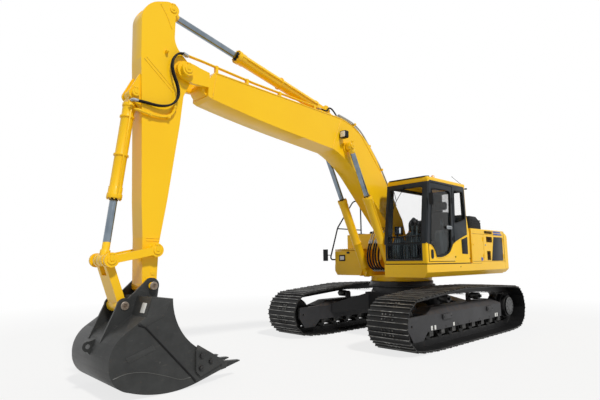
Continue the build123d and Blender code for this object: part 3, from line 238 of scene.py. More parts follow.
def bucket_steel():
    """Charcoal bucket paint, scuffed and faintly mottled."""
    f = Finish("bucket_steel", {"Specular IOR Level": 0.35})
    mottle = f.noise(5.0, 6.0, 0.62)
    grit = f.noise(120.0, 4.0, 0.6)
    scuff = f.rise(f.noise(16.0, 7.0, 0.7, f.stretched(0.4, 1.0, 1.6)), 0.6, 0.72)
    rust = f.rise(f.noise(24.0, 5.0, 0.65), 0.66, 0.75)
    base = f.clouded(mottle, "292a2a", "373838")
    base = f.mix(scuff * 0.35, base, hue("6e6c68"))
    base = f.mix(rust * 0.3, base, hue("6b4a2c"))
    base = f.mix(f.edges(0.53, 0.65) * 0.5, base, hue("7c7b78"))
    f.set({"Base Color": base, "Roughness": 0.38 + 0.2 * grit, "Metallic": 0.1 + 0.3 * scuff})
    return f.relief(0.001, grit + mottle, 0.3).material


ROD_ENDS = (
    # eye pin (x, z) and how far the paint reaches from it
    (6.5, 1.58, 0.225),
    (2.05, 3.74, 0.15),
    (5.74, 5.16, 0.15),
)


def chrome():
    """Hard chromed rod, coloured dark blue-grey and mottled by noise as a painted reflection of sky and ground; its eye
    is painted.
    """
    f = Finish("chrome_rod", {})
    # noise that mottles the chrome's colour: painted reflection
    film = f.noise(6.0, 3.0)
    ring = f.noise(400.0, 1.0)
    x, z = f.axis("X"), f.axis("Z")
    bare = 1.0
    for pin_x, pin_z, reach in ROD_ENDS:
        away = ((x - SWING.x - pin_x) ** 2 + (z - pin_z) ** 2) ** 0.5
        bare = bare * f.rise(away, reach, reach + 0.002)
    # the chrome's colour, dark blue-grey to pale grey by noise: painted reflection of sky and ground
    metal_with_painted_reflection = f.mix(film, hue("55626f"), hue("98a3ac"))
    f.set({"Base Color": f.mix(bare, hue(YELLOW), metal_with_painted_reflection), "Metallic": bare})
    f.set({"Roughness": 0.34 - 0.22 * bare + 0.06 * film})
    return f.relief(0.0001, ring, 0.1).material


def cab_paint():
    """Enamel outside, black on the pillars and grey trim inside; the lower panels, rear post and lining stay yellow."""
    f = Finish("cab_two_tone", {"Specular IOR Level": 0.25})
    x, y, z = f.axis("X") - SWING.x, f.axis("Y"), f.axis("Z")
    # the panel's edge climbs to the rear
    level = z - 0.34 * f.greater(0.2 - x, 0.0)
    pillar = f.rise(level, 1.86, 1.862) * f.rise(x, -0.404, -0.402) * (1 - f.rise(z, 3.03, 3.032))
    inside = f.rise(y, 0.449, 0.451) * (1 - f.rise(y, 1.374, 1.376)) * f.rise(x, -0.48, -0.478)
    inside = inside * (1 - f.rise(x, 1.188, 1.19)) * (1 - f.rise(z, 2.96, 2.962))
    dark = f.greater(pillar, inside)
    cloud = f.noise(0.9, 4.0, 0.55)
    grain = f.noise(240.0, 2.0)
    enamel = f.clouded(cloud, YELLOW, YELLOW_SHADE, 0.35)
    trim = f.clouded(cloud, "1f2327", "282d32")
    f.set({"Base Color": f.mix(dark, enamel, trim), "Roughness": 0.34 + 0.1 * dark + 0.1 * grain})
    return f.relief(0.0006, grain, 0.25).material


def zinc():
    """Zinc plated steel of pipes, ferrules and the door handle."""
    f = Finish("zinc_plate", {"Metallic": 0.85})
    film = f.noise(30.0, 4.0)
    f.set({"Base Color": f.mix(film, hue("8f969c"), hue("b9bdc0")), "Roughness": 0.24 + 0.2 * film})
    return f.relief(0.0002, film, 0.2).material


def pin_steel():
    """Bare steel of pin ends, browned by rust and grease."""
    f = Finish("pin_steel", {"Metallic": 0.55})
    patch = f.rise(f.noise(45.0, 5.0, 0.65), 0.35, 0.65)
    base = f.mix(patch, hue("57493f"), hue("8c7a68"))
    base = f.mix(f.edges(0.52, 0.6) * 0.6, base, hue("b5aca2"))
    f.set({"Base Color": base, "Roughness": 0.38 + 0.2 * patch})
    return f.relief(0.0004, patch, 0.3).material


def worn_steel():
    """Grouser tops rubbed by the ground: bright where they bear, dull between."""
    f = Finish("worn_steel", {"Specular IOR Level": 0.5})
    rub = f.rise(f.noise(5.0, 5.0, 0.6), 0.42, 0.62)
    grit = f.noise(60.0, 4.0)
    base = f.mix(rub, hue("4a4a4a"), hue("a5a4a1"))
    f.set({"Base Color": f.mix(f.rise(grit, 0.5, 0.8) * 0.4, base, hue("b5b4b0")), "Metallic": 0.2 + 0.5 * rub})
    f.set({"Roughness": 0.3 + 0.2 * grit})
    return f.relief(0.0006, grit, 0.3).material


def mirror_glass():
    """Silvered glass with a faint smear."""
    f = Finish("mirror_glass", {"Metallic": 1.0, "Base Color": hue("c3ced8")})
    f.set({"Roughness": 0.03 + 0.08 * f.noise(14.0, 4.0)})
    return f.material


def moulded(name, body, shade, rough=0.5, grain=320.0, depth=0.0006):
    """Moulded plastic or rubber with a fine grain."""
    f = Finish(name, {"Specular IOR Level": 0.18})
    cells = f.add("TexVoronoi", {}, {"Vector": f.place, "Scale": grain}, output="Distance")
    cloud = f.noise(7.0, 4.0)
    f.set({"Base Color": f.clouded(cloud, body, shade), "Roughness": rough + 0.12 * cloud})
    return f.relief(depth, cells, 0.4).material


def window(name, tint, body):
    """Safety glass: thin tinted pane, clearer straight on than at a grazing angle."""
    f = Finish(name, {"Base Color": hue(tint), "Specular IOR Level": 0.7, "IOR": 1.5})
    smear = f.noise(5.0, 4.0)
    rim = f.add("LayerWeight", {}, {"Blend": 0.25}, output="Facing")
    f.set({"Alpha": body + 0.3 * rim**3 + 0.02 * smear, "Roughness": 0.03 + 0.05 * smear})
    return f.material


def woven(name, body, shade):
    """Seat cloth: crossed threads."""
    f = Finish(name, {"Specular IOR Level": 0.2, "Sheen Weight": 0.3})
    lines = {"Vector": f.place, "Scale": 150.0, "Distortion": 0.6}
    thread = f.add("TexWave", {"bands_direction": "Y"}, lines) * f.add("TexWave", {"bands_direction": "Z"}, lines)
    f.set({"Base Color": f.mix(thread, hue(shade), hue(body)), "Roughness": 0.85 + 0.1 * thread})
    return f.relief(0.0012, thread, 0.5).material


def lens(name, body):
    """Ribbed lamp lens."""
    f = Finish(name, {"Coat Weight": 1.0, "Specular IOR Level": 0.7})
    ribs = f.add("TexWave", {"bands_direction": "Z"}, {"Vector": f.place, "Scale": 60.0})
    f.set({"Base Color": f.mix(ribs * 0.4, hue(body), hue("ffffff")), "Roughness": 0.12 + 0.1 * ribs})
    return f.relief(0.002, ribs, 0.5).material


FINISHES = {
    "yellow": gloss_paint("yellow_paint", YELLOW, YELLOW_SHADE),
    "charcoal": chassis_paint("charcoal_paint", "29292b", "37373a", dusty=0.3),
    "frame": chassis_paint("frame_paint", "111112", "1b1b1d", dusty=0.14, rough=0.26),
    "steel": shoe_steel(),
    "bucket": bucket_steel(),
    "chrome": chrome(),
    "cab": moulded("cab_trim", "1f2327", "282d32", 0.42, 260.0, 0.0003),
    "black": moulded("black_plastic", "121416", "1d1f22", 0.5),
    "rubber": moulded("hose_rubber", "101011", "1b1b1c", 0.55, 700.0, 0.0003),
    "console": moulded("console_plastic", "4a585e", "5c6a70", 0.55),
    "panel": moulded("dark_panel", "171b20", "1f252c", 0.35, 500.0, 0.0001),
    "stripe": gloss_paint("blue_stripe", "27499b", "2d52a8", dusty=0.05),
    "white": gloss_paint("blank_label", "e9e9e6", "dcdcd8", dusty=0.1),
    "glass": window("cab_pane", "1c2a2a", 0.02),
    "smoked": window("door_pane", "0c1112", 0.3),
    "cloth": woven("seat_cloth", "2c2e31", "1a1b1d"),
    "lens": lens("lamp_lens", "dfe2e4"),
    "amber": lens("amber_lens", "ffb010"),
    "engine": chassis_paint("engine_paint", "4c4d4e", "5a5b5c", dusty=0.2),
    "bright": zinc(),
    "pin": pin_steel(),
    "knob": moulded("orange_knob", "d9731c", "e28a30", 0.4),
    # dark brown of the plugs and housing seams, also used as painted shadow between the louvre slats
    "dark_and_painted_shade": moulded("dark_parts_and_painted_shade", "2a2318", "1c1812", 0.8),
    "mirror": mirror_glass(),
    "cab_frame": cab_paint(),
    "worn": worn_steel(),
}

# what finish each part of the frame carries
NODE_FINISH = {
    "yellow": (
        "counterweight body_left body_right tanks centre_cover toolbox toolbox_lid left_front_door "
        "left_rear_door right_door boom arm tipping_links bucket_link boom_cylinder_barrels "
        "arm_cylinder_barrel bucket_cylinder_barrel revolving_frame cab_roof boom_pipes"
    ),
    "charcoal": "track_frame_left track_frame_right",
    "frame": "car_body slew_ring swing_motor pump",
    "steel": "track_left track_right sprockets idlers rollers",
    "bucket": "bucket bucket_edge",
    "chrome": "boom_cylinder_rods arm_cylinder_rod bucket_cylinder_rod",
    "cab": "cab_door",
    "cab_frame": "cab_frame",
    "black": "engine_hood cooling_pack exhaust front_lamp boom_lamp handrails cab_mirror",
    "engine": "engine",
    "glass": "cab_glass",
    "smoked": "cab_door_glass",
    "cloth": "seat",
    "console": "consoles",
}


def dress_frame():
    """Puts each node's finish on it and softens its corners."""
    for finish, names in NODE_FINISH.items():
        for name in names.split():
            node = frame["nodes"][name]
            node.data.materials.clear()
            node.data.materials.append(FINISHES[finish])
            weld = node.modifiers.new("weld", "WELD")
            weld.merge_threshold = WELD_GAP
            soft = node.modifiers.new("soft_corners", "BEVEL")
            soft.width = SOFT_CORNER
            soft.segments = 2
            soft.limit_method = "ANGLE"
            soft.angle_limit = BENT_CORNER
            soft.harden_normals = True


class Face:
    """Flat working face: an origin, the two directions drawn along, and the way out of it."""

    def __init__(self, origin, across, up, out):
        self.turn = Matrix((Vector(across), Vector(up), Vector(out))).transposed()
        self.origin = at(*origin)

    def point(self, u, v, w=0.0):
        return self.origin + self.turn @ Vector((u, v, w))

    def local(self, u, v, w=0.0):
        """The same place, given from the swing axis."""
        return self.point(u, v, w) - SWING_FOOT


def side_face(sign, y):
    """Drawn as (x, z), out to the left for 1 and to the right for -1."""
    return Face((0, sign * y, 0), AHEAD, UP, (0, sign, 0))


def left_face(y):
    return side_face(1, y)


def front_face(x):
    """Drawn as (y, z), out to the front."""
    return Face((x, 0, 0), LEFT, UP, AHEAD)


def rear_face(x):
    """Drawn as (y, z), out to the rear."""
    return Face((x, 0, 0), LEFT, UP, (-1, 0, 0))


def top_face(z):
    """Drawn as (x, y), out upwards."""
    return Face((0, 0, z), AHEAD, LEFT, UP)


def rounded(corners, radius):
    """Closed outline with every corner rounded."""
    outline = []
    count = len(corners)
    for k, corner in enumerate(corners):
        here = Vector(corner)
        legs = [Vector(corners[(k + step) % count]) - here for step in (-1, 1)]
        reach = [leg.normalized() * min(radius, leg.length * 0.45) for leg in legs]
        for share in (0.0, 0.25, 0.5, 0.75, 1.0):
            outline.append(here + reach[0] * (1 - share) ** 2 + reach[1] * share**2)
    return [tuple(point) for point in outline]


def through(points, steps=5):
    """Smooth line through open points."""
    rows = [Vector(point) for point in points]
    ends = [2 * rows[0] - rows[1]] + rows + [2 * rows[-1] - rows[-2]]
    line = []
    for a, b, c, d in zip(ends, ends[1:], ends[2:], ends[3:]):
        for step in range(steps):
            t = step / steps
            line.append(
                0.5 * (2 * b + (c - a) * t + (2 * a - 5 * b + 4 * c - d) * t * t + (3 * b - a - 3 * c + d) * t**3)
            )
    line.append(rows[-1])
    return [tuple(point) for point in line]


def box_outline(u0, u1, v0, v1):
    return ((u0, v0), (u1, v0), (u1, v1), (u0, v1))


def pad(u0, u1, v0, v1, radius):
    """Box outline with its corners rounded."""
    return rounded(box_outline(u0, u1, v0, v1), radius)


class Fitting:
    """A piece gathered from plates, tubes, blocks and turned parts, in one finish."""

    def __init__(self, name, finish="black", body="upper"):
        self.name, self.body, self.finish = name, body, finish
        self.mesh = bmesh.new()

    def take(self, curve, place=None):
        """Adds a curve's surface, its points put in place."""
        holder = bpy.data.objects.new("line", curve)
        mesh = bpy.data.meshes.new_from_object(holder)
        if place:
            for vertex in mesh.vertices:
                vertex.co = place(*vertex.co)
        self.mesh.from_mesh(mesh)
        bpy.data.objects.remove(holder)
        bpy.data.meshes.remove(mesh)
        bpy.data.curves.remove(curve)
        return self

    def plate(self, face, outline, thick, holes=(), edge=0.0012):
        """Sheet cut to an outline, with holes, its edges broken."""
        curve = bpy.data.curves.new("outline", "CURVE")
        curve.dimensions = "2D"
        curve.fill_mode = "BOTH"
        curve.bevel_depth = edge
        curve.bevel_resolution = 1
        curve.offset = -edge
        curve.extrude = thick / 2 - edge
        for ring in (outline, *holes):
            spline = curve.splines.new("POLY")
            spline.points.add(len(ring) - 1)
            for point, (u, v) in zip(spline.points, ring):
                point.co = (u, v, 0.0, 1.0)
            spline.use_cyclic_u = True
        return self.take(curve, lambda u, v, w: face.point(u, v, w + thick / 2))

    def tube(self, points, radius, order=3, sides=2, closed=False):
        """Round tube or hose on a smooth line drawn by its places."""
        curve = bpy.data.curves.new("run", "CURVE")
        curve.dimensions = "3D"
        curve.bevel_depth = radius
        curve.bevel_resolution = sides
        curve.use_fill_caps = True
        curve.resolution_u = 6
        spline = curve.splines.new("NURBS" if order > 2 else "POLY")
        spline.points.add(len(points) - 1)
        for point, place in zip(spline.points, points):
            point.co = (*at(*place), 1.0)
        spline.order_u = order
        spline.use_endpoint_u = True
        spline.use_cyclic_u = closed
        return self.take(curve)

    def bar(self, points, radius, sides=2, closed=False):
        """Round bar, rim or bead straight from place to place."""
        return self.tube(points, radius, 2, sides, closed)

    def bead(self, face, line, radius):
        """Low round bead laid on a face along a drawn line."""
        return self.bar([face.local(u, v) for u, v in line], radius, sides=1)

    def turned(self, start, out, profile, sides=16):
        """Part turned about an axis: rows of distance along it and radius."""
        axis = Vector(out).normalized()
        across = axis.orthogonal().normalized()
        other = axis.cross(across)
        foot = at(*start)
        rings = []
        for along, radius in profile:
            ring = []
            for k in range(sides):
                angle = 2 * pi * k / sides
                spoke = (across * cos(angle) + other * sin(angle)) * radius
                ring.append(self.mesh.verts.new(foot + axis * along + spoke))
            rings.append(ring)
        for low, high in zip(rings, rings[1:]):
            for k in range(sides):
                n = (k + 1) % sides
                self.mesh.faces.new((low[k], low[n], high[n], high[k]))
        self.mesh.faces.new(list(reversed(rings[0])))
        self.mesh.faces.new(rings[-1])
        return self

    def rod(self, start, out, length, radius, sides=16):
        """Plain round or many-sided length."""
        return self.turned(start, out, ((0, radius), (length, radius)), sides)

    def bolt(self, start, out, size):
        """Hexagon bolt head on its washer."""
        self.turned(start, out, ((0, size * 1.25), (size * 0.2, size * 1.25), (size * 0.2, size)), 12)
        return self.turned(start, out, ((size * 0.2, size), (size * 0.85, size), (size * 0.95, size * 0.82)), 6)

    def studs(self, x, y, z, columns, rows, step_x, step_y):
        """Field of low round studs on a tread plate."""
        for k in range(columns):
            for j in range(rows):
                self.turned((x + step_x * k, y + step_y * j, z), UP, ((0, 0.013), (0.006, 0.009)), 8)
        return self

    def block(self, low, high, edge=0.004):
        """Solid block with broken edges."""
        (x0, y0, z0), (x1, y1, z1) = low, high
        return self.plate(top_face(z0), box_outline(x0, x1, y0, y1), z1 - z0, edge=edge)

    def made(self):
        """Turns what was gathered into the piece and lets it ride."""
        bmesh.ops.remove_doubles(self.mesh, verts=self.mesh.verts, dist=WELD_GAP / 2)
        bmesh.ops.recalc_face_normals(self.mesh, faces=self.mesh.faces)
        piece = as_object(self.name, self.mesh, self.finish)
        piece.data.set_sharp_from_angle(angle=SHARP_CORNER)
        if self.body:
            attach(piece, self.body)
        return piece


def as_object(name, form, finish):
    """Object of a worked mesh, with its finish and the slot that stands for it."""
    mesh = bpy.data.meshes.new(name)
    form.to_mesh(mesh)
    form.free()
    mesh.materials.append(FINISHES[finish])
    mesh.shade_smooth()
    piece = bpy.data.objects.new(name, mesh)
    bpy.context.collection.objects.link(piece)
    return piece


# ---- cab trim
CAB_SIDE = 1.3805
DOOR_PANEL_EDGE = through(
    ((1.134, 1.832), (1.085, 1.828), (1.01, 1.788), (0.945, 1.715), (0.915, 1.64), (0.88, 1.598), (0.8, 1.585),
     (0.64, 1.594), (0.48, 1.632), (0.345, 1.69), (0.262, 1.775), (0.205, 1.842), (0.152, 1.874))
)
SIDE_PANEL_EDGE = through(((0.138, 1.88), (0.06, 1.912), (-0.155, 1.982), (-0.412, 2.056)))
SIDE_TRIM_EDGE = [
    (1.203, 1.84), (1.036, 3.02), (1.02, 3.048), (0.985, 3.058), (-0.34, 3.058), (-0.378, 3.046), (-0.392, 3.01),
    (-0.412, 2.42), *reversed(SIDE_PANEL_EDGE), (0.142, 1.89), (0.142, 3.018), (0.979, 3.018), (1.147, 1.852),
]
QUARTER_PANE = rounded(((0.062, 2.942), (0.096, 2.268), (-0.36, 2.366), (-0.305, 2.942)), 0.045)
DOOR_PANE = (
    (0.935, 2.88), (1.064, 1.85), (1.02, 1.826), (0.975, 1.788), (0.942, 1.735), (0.922, 1.68), (0.895, 1.64),
    (0.845, 1.621), (0.7, 1.626), (0.5, 1.653), (0.4, 1.69), (0.33, 1.745), (0.287, 1.83), (0.227, 2.82),
    (0.24, 2.868), (0.268, 2.9), (0.312, 2.912), (0.86, 2.912), (0.905, 2.904),
)


def cab_line(outline, out, down=0.0):
    """Line along an outline on the cab's left side."""
    return [(u, CAB_SIDE + out, v - down) for u, v in outline]


def make_cab_side_trim():
    """Black sheet round the door opening and the quarter window, and the yellow rim below it."""
    side = left_face(CAB_SIDE)
    Fitting("cab_side_trim", "cab").plate(side, SIDE_TRIM_EDGE, 0.005, (QUARTER_PANE,), 0.0018).made()
    rubber = Fitting("quarter_window_rubber", "rubber")
    rubber.bar(cab_line(QUARTER_PANE, 0.003), 0.009, closed=True).made()
    Fitting("cab_panel_rim", "yellow").bar(cab_line(SIDE_PANEL_EDGE, 0.002, 0.01), 0.009).made()


def make_door_trim():
    """Yellow lower panel of the door with its rolled rim, the pane's rubber, side cap, handle and hinges."""
    side = left_face(CAB_SIDE)
    panel = Fitting("door_lower_panel", "yellow", "cab_door")
    panel.plate(side, [(0.153, 1.513), (1.134, 1.513)] + DOOR_PANEL_EDGE, 0.007, edge=0.0028)
    panel.bar(cab_line(DOOR_PANEL_EDGE[1:-1], 0.005, 0.012), 0.011).made()
    Fitting("door_window_rubber", "rubber", "cab_door").bar(cab_line(DOOR_PANE, 0.002), 0.01, closed=True).made()
    cap = Fitting("door_side_cap", "black", "cab_door")
    cap.plate(side, pad(0.985, 1.08, 1.56, 1.735, 0.055), 0.016, edge=0.006).made()
    handle = Fitting("door_handle", "bright", "cab_door")
    handle.plate(side, pad(0.235, 0.43, 2.14, 2.205, 0.02), 0.012, edge=0.004)
    handle.tube(((0.25, 1.385, 2.165), (0.262, 1.415, 2.17), (0.4, 1.418, 2.186), (0.415, 1.385, 2.188)), 0.011)
    handle.made()
    hinge = Fitting("door_hinges", "black", "cab_door")
    for z in (1.95, 2.72):
        hinge.rod((0.158, 1.388, z - 0.055), UP, 0.11, 0.014, 12)
        hinge.plate(side, pad(0.16, 0.225, z - 0.03, z + 0.03, 0.01), 0.008)
    hinge.made()


def make_screen_trim():
    """Black surround of the front window, its rubber, the bar below it, the roof gutter and the wiper."""
    lean = Vector((1.215 - 1.04, 0, 1.85 - 3.06))
    rise = -lean.normalized()
    out = Vector(LEFT).cross(rise).normalized()
    slope = Face((1.2165, 0, 1.85), LEFT, rise, out)
    tall = lean.length
    opening = pad(0.512, 1.272, 0.012, tall - 0.125, 0.05)
    trim = Fitting("screen_surround", "cab")
    trim.plate(slope, box_outline(0.449, 1.377, -0.006, tall - 0.028), 0.006, (opening,), 0.0018)
    hole = pad(0.512, 1.262, 1.56, 1.83, 0.03)
    trim.plate(front_face(1.2155), box_outline(0.472, 1.29, 1.525, 1.846), 0.005, (hole,), 0.0015)
    trim.block((1.196, 0.47, 1.832), (1.219, 1.29, 1.866)).made()
    gutter = (
        (0.96, 1.352, 3.136), (1.03, 1.33, 3.132), (1.052, 1.27, 3.128), (1.052, 0.56, 3.128),
        (1.03, 0.48, 3.132), (0.9, 0.456, 3.134), (-0.38, 0.456, 3.134),
    )
    Fitting("roof_gutter").tube(gutter, 0.013).made()
    rubber = Fitting("screen_rubber", "rubber")
    rubber.bar([slope.local(u, v, 0.004) for u, v in opening], 0.01, closed=True).made()
    wiper = Fitting("wiper")
    pivot = slope.local(0.86, tall - 0.1, 0.012)
    elbow = slope.local(0.7, tall - 0.36, 0.022)
    wiper.turned(pivot, out, ((-0.012, 0.022), (0.012, 0.022), (0.018, 0.014)), 14)
    wiper.bar((pivot, elbow), 0.006)
    wiper.bar((slope.local(0.63, tall - 0.17, 0.01), elbow, slope.local(0.545, tall - 0.72, 0.012)), 0.0065)
    wiper.made()


def make_cab_grille():
    """Dark slatted grille low on the cab's rear side."""
    grille = Fitting("cab_grille")
    side = left_face(CAB_SIDE)
    outline = ((-0.158, 1.662), (-0.15, 1.945), (-0.412, 2.008), (-0.407, 1.65))
    grille.plate(side, rounded(outline, 0.02), 0.006, edge=0.002)
    for k in range(9):
        z = 1.675 + 0.03 * k
        grille.plate(side, box_outline(-0.392, -0.178, z, z + 0.017), 0.011, edge=0.003)
    grille.made()


def make_roof_fittings():
    """Small amber lamp, rear lamp and aerial on the cab."""
    dome = ((0, 0.034), (0.012, 0.036), (0.035, 0.033), (0.05, 0.022), (0.056, 0.006))
    Fitting("roof_lamp", "amber").turned((0.766, 1.327, 3.128), UP, dome, 18).made()
    rear = Fitting("roof_rear_lamp")
    rear.block((-0.565, 1.325, 3.028), (-0.53, 1.372, 3.058), 0.006)
    rear.block((-0.552, 1.335, 3.036), (-0.455, 1.35, 3.046), 0.003).made()
    aerial = Fitting("aerial")
    aerial.turned((-0.415, 1.3, 3.128), UP, ((0, 0.018), (0.014, 0.018), (0.03, 0.008)), 14)
    aerial.tube(((-0.415, 1.3, 3.15), (-0.425, 1.2, 3.24), (-0.435, 1.1, 3.338)), 0.0045, sides=1).made()


# ---- inside the cab
WIDE = 1


def cushion(name, middle, half, lean=0.0, crown=0.012, channels=()):
    """Padded cushion: crowned closed form, sides pulled in between its corners, with sewn channels."""
    form = bmesh.new()
    bmesh.ops.create_cube(form, size=2.0)
    bmesh.ops.subdivide_edges(form, edges=form.edges, cuts=11, use_grid_fill=True)
    thin = half.index(min(half))
    tall = 3 - WIDE - thin
    turn = Matrix.Rotation(lean, 4, "Y")
    for vertex in form.verts:
        p = vertex.co
        q = p / (abs(p.x) ** 5 + abs(p.y) ** 5 + abs(p.z) ** 5) ** 0.2
        size = [q[k] * half[k] for k in range(3)]
        inner_wide, inner_tall = (1 - min(1.0, abs(q[axis])) ** 2 for axis in (WIDE, tall))
        size[WIDE] *= 1 - 0.035 * inner_tall
        size[tall] *= 1 - 0.03 * inner_wide
        size[thin] += crown * inner_wide * inner_tall * (1 if q[thin] > 0 else -0.3)
        for channel in channels:
            depth = 0.009 / (1 + ((abs(size[WIDE]) - channel) / 0.006) ** 2)
            size[thin] -= depth * (1 if q[thin] > 0 else -1)
        vertex.co = at(*middle) + turn @ Vector(size)
    piece = as_object(name, form, "cloth")
    smooth = piece.modifiers.new("smooth", "SUBSURF")
    smooth.levels = 1
    smooth.render_levels = 1
    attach(piece, "upper")
    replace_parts(piece, "seat")


def piping(name, middle, half, lean):
    """Piped seam round a cushion."""
    turn = Matrix.Rotation(lean, 4, "Y")
    thin = half.index(min(half))
    first, second = [k for k in range(3) if k != thin]
    ring = []
    for k in range(28):
        c, s = cos(2 * pi * k / 28), sin(2 * pi * k / 28)
        spread = (abs(c) ** 5 + abs(s) ** 5) ** 0.2
        spot = Vector()
        spot[first] = c / spread * half[first] * 0.985
        spot[second] = s / spread * half[second] * 0.985
        ring.append(at(*middle) + turn @ spot - SWING_FOOT)
    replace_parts(Fitting(name, "rubber").bar(ring, 0.004, sides=1, closed=True).made(), "seat")


def make_seat():
    """Sprung seat: cushion, back and head rest on a bellows pedestal, with arm rests."""
    for name, middle, half, lean, channels in (
        ("seat_cushion", (0.15, 0.9, 1.835), (0.265, 0.245, 0.062), -0.06, (0.15,)),
        ("seat_back", (-0.21, 0.9, 2.225), (0.062, 0.235, 0.335), -0.16, (0.14,)),
        ("head_rest", (-0.27, 0.9, 2.69), (0.046, 0.135, 0.09), -0.12, ()),
    ):
        cushion(name, middle, half, lean, channels=channels)
        piping(name + "_piping", middle, half, lean)
    stand = Fitting("seat_frame")
    stand.block((-0.09, 0.7, 1.76), (0.35, 1.1, 1.79), 0.008)
    stand.block((-0.1, 0.72, 1.52), (0.32, 1.08, 1.555), 0.01)
    for k in range(5):
        fold = pad(-0.075 + 0.004 * (k % 2), 0.295, 0.735, 1.065, 0.05)
        stand.plate(top_face(1.56 + 0.04 * k), fold, 0.036, edge=0.016)
    for y in (0.855, 0.945):
        stand.bar(((-0.235, y, 2.5), (-0.262, y, 2.66)), 0.007)
    for y in (0.68, 1.12):
        stand.bar(((-0.16, y, 1.8), (-0.27, y, 2.06)), 0.016)
    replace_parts(stand.made(), "seat")
    for name, y in (("right_arm_rest", 0.655), ("left_arm_rest", 1.145)):
        cushion(name, (0.04, y, 2.165), (0.15, 0.036, 0.024), crown=0.006)


def make_cab_inside():
    """Consoles' covers and knobs, levers, monitor, floor mat, dark linings and the guard behind the lower pane."""
    covers = Fitting("console_covers", "console")
    nose = (
        (0.3, 2.128), (0.46, 2.122), (0.545, 2.065), (0.56, 1.9), (0.5, 1.7), (0.47, 1.53), (0.425, 1.53),
        (0.425, 2.118), (0.3, 2.114),
    )
    for y in (0.512, 1.172):
        covers.plate(left_face(y), rounded(nose, 0.02), 0.116, edge=0.012)
    dash = (
        (0.62, 1.53), (1.06, 1.53), (1.085, 1.66), (1.05, 1.86), (0.94, 1.99), (0.84, 2.01), (0.74, 1.9), (0.66, 1.72),
    )
    covers.plate(left_face(0.505), rounded(dash, 0.05), 0.15, edge=0.022).made()
    screen = Fitting("monitor")
    screen.plate(rear_face(0.93), pad(0.5, 0.672, 2.045, 2.215, 0.02), 0.045, edge=0.01)
    screen.bar(((0.95, 0.585, 2.05), (0.96, 0.575, 1.96)), 0.02).made()
    back = Fitting("monitor_back", "mirror")
    back.plate(front_face(0.9305), pad(0.515, 0.655, 2.07, 2.19, 0.015), 0.006, edge=0.002).made()
    levers = Fitting("lever_grips")
    grip = ((-0.09, 0.03), (-0.05, 0.022), (0.0, 0.019), (0.04, 0.024), (0.085, 0.027), (0.105, 0.018))
    boot = ((0, 0.052), (0.02, 0.046), (0.045, 0.028), (0.07, 0.022))
    for y in (0.57, 1.235):
        levers.turned((0.35, y, 2.25), (-0.1, 0, 1), grip).turned((0.35, y, 2.11), UP, boot)
    for y in (0.85, 0.95):
        levers.turned((0.815, y, 2.215), (-0.12, 0, 1), ((0, 0.016), (0.01, 0.022), (0.11, 0.022), (0.125, 0.012)), 14)
        levers.plate(top_face(1.585), pad(0.77, 0.97, y - 0.042, y + 0.042, 0.02), 0.014, edge=0.004)
    levers.made()
    knobs = Fitting("switch_knobs", "knob")
    for k in range(4):
        knobs.turned((0.3 + 0.03 * k, 0.545, 2.112), UP, ((0, 0.01), (0.016, 0.011), (0.022, 0.006)), 12)
    for y in (0.532, 0.567, 0.62):
        knobs.turned((0.455, y, 2.118), (0.3, 0, 1), ((0, 0.011), (0.02, 0.012), (0.028, 0.006)), 12)
    knobs.made()
    lining = Fitting("cab_lining")
    lining.plate(front_face(-0.465), pad(0.5, 1.33, 1.53, 2.43, 0.03), 0.02, edge=0.006)
    lining.block((-0.44, 0.52, 2.25), (-0.33, 1.3, 2.33), 0.02)
    lining.plate(front_face(-0.412), pad(0.505, 0.865, 2.33, 2.965, 0.02), 0.012, edge=0.004)
    right_wall = ((-0.44, 1.53), (1.12, 1.53), (1.12, 1.785), (-0.1, 1.785), (-0.395, 2.235), (-0.44, 2.235))
    lining.plate(left_face(0.4905), right_wall, 0.008)
    left_wall = ((-0.43, 1.53), (0.14, 1.53), (0.14, 2.24), (-0.38, 2.34), (-0.43, 2.34))
    lining.plate(Face((0, 1.3345, 0), AHEAD, UP, RIGHT), left_wall, 0.008).made()
    guard = Fitting("lower_guard")
    for k in range(15):
        y = 0.53 + 0.0513 * k
        guard.tube(((1.15, y, 1.545), (1.155, y, 1.8), (1.128, y, 1.985)), 0.0085, sides=1)
    for x, z, radius in ((1.126, 1.992, 0.014), (1.152, 1.556, 0.012)):
        guard.bar(((x, 0.5, z), (x, 1.285, z)), radius)
    guard.made()
    mat = Fitting("floor_mat", "rubber")
    mat.plate(top_face(1.521), pad(0.46, 1.14, 0.66, 1.16, 0.03), 0.01, edge=0.003)
    for k in range(12):
        x = 0.49 + 0.054 * k
        mat.plate(top_face(1.53), box_outline(x, x + 0.02, 0.68, 1.14), 0.006, edge=0.002)
    mat.made()


# ---- housing sides
HOUSING_SIDE = 1.3803
LOUVRE_PAINTED_SHADOWS = (
    # painted shadow lines between the slats: name, body, rear x, front x, low z, high z, slats
    ("top_louvre_painted_shadows", "upper", -1.64, -1.25, 2.106, 2.172, 3),
    ("door_louvre_painted_shadows", "left_rear_door", -1.625, -1.335, 1.918, 2.04, 4),
    ("low_louvre_painted_shadows", "left_rear_door", -1.515, -1.345, 1.523, 1.717, 6),
)
SIDE_DOORS = (
    # body, side, latch x, hinge x, latch finish
    ("left_front_door", 1, -0.69, -1.12, "yellow"),
    ("left_rear_door", 1, -1.265, -2.205, "bright"),
    ("right_door", -1, -1.4, -2.205, "yellow"),
)


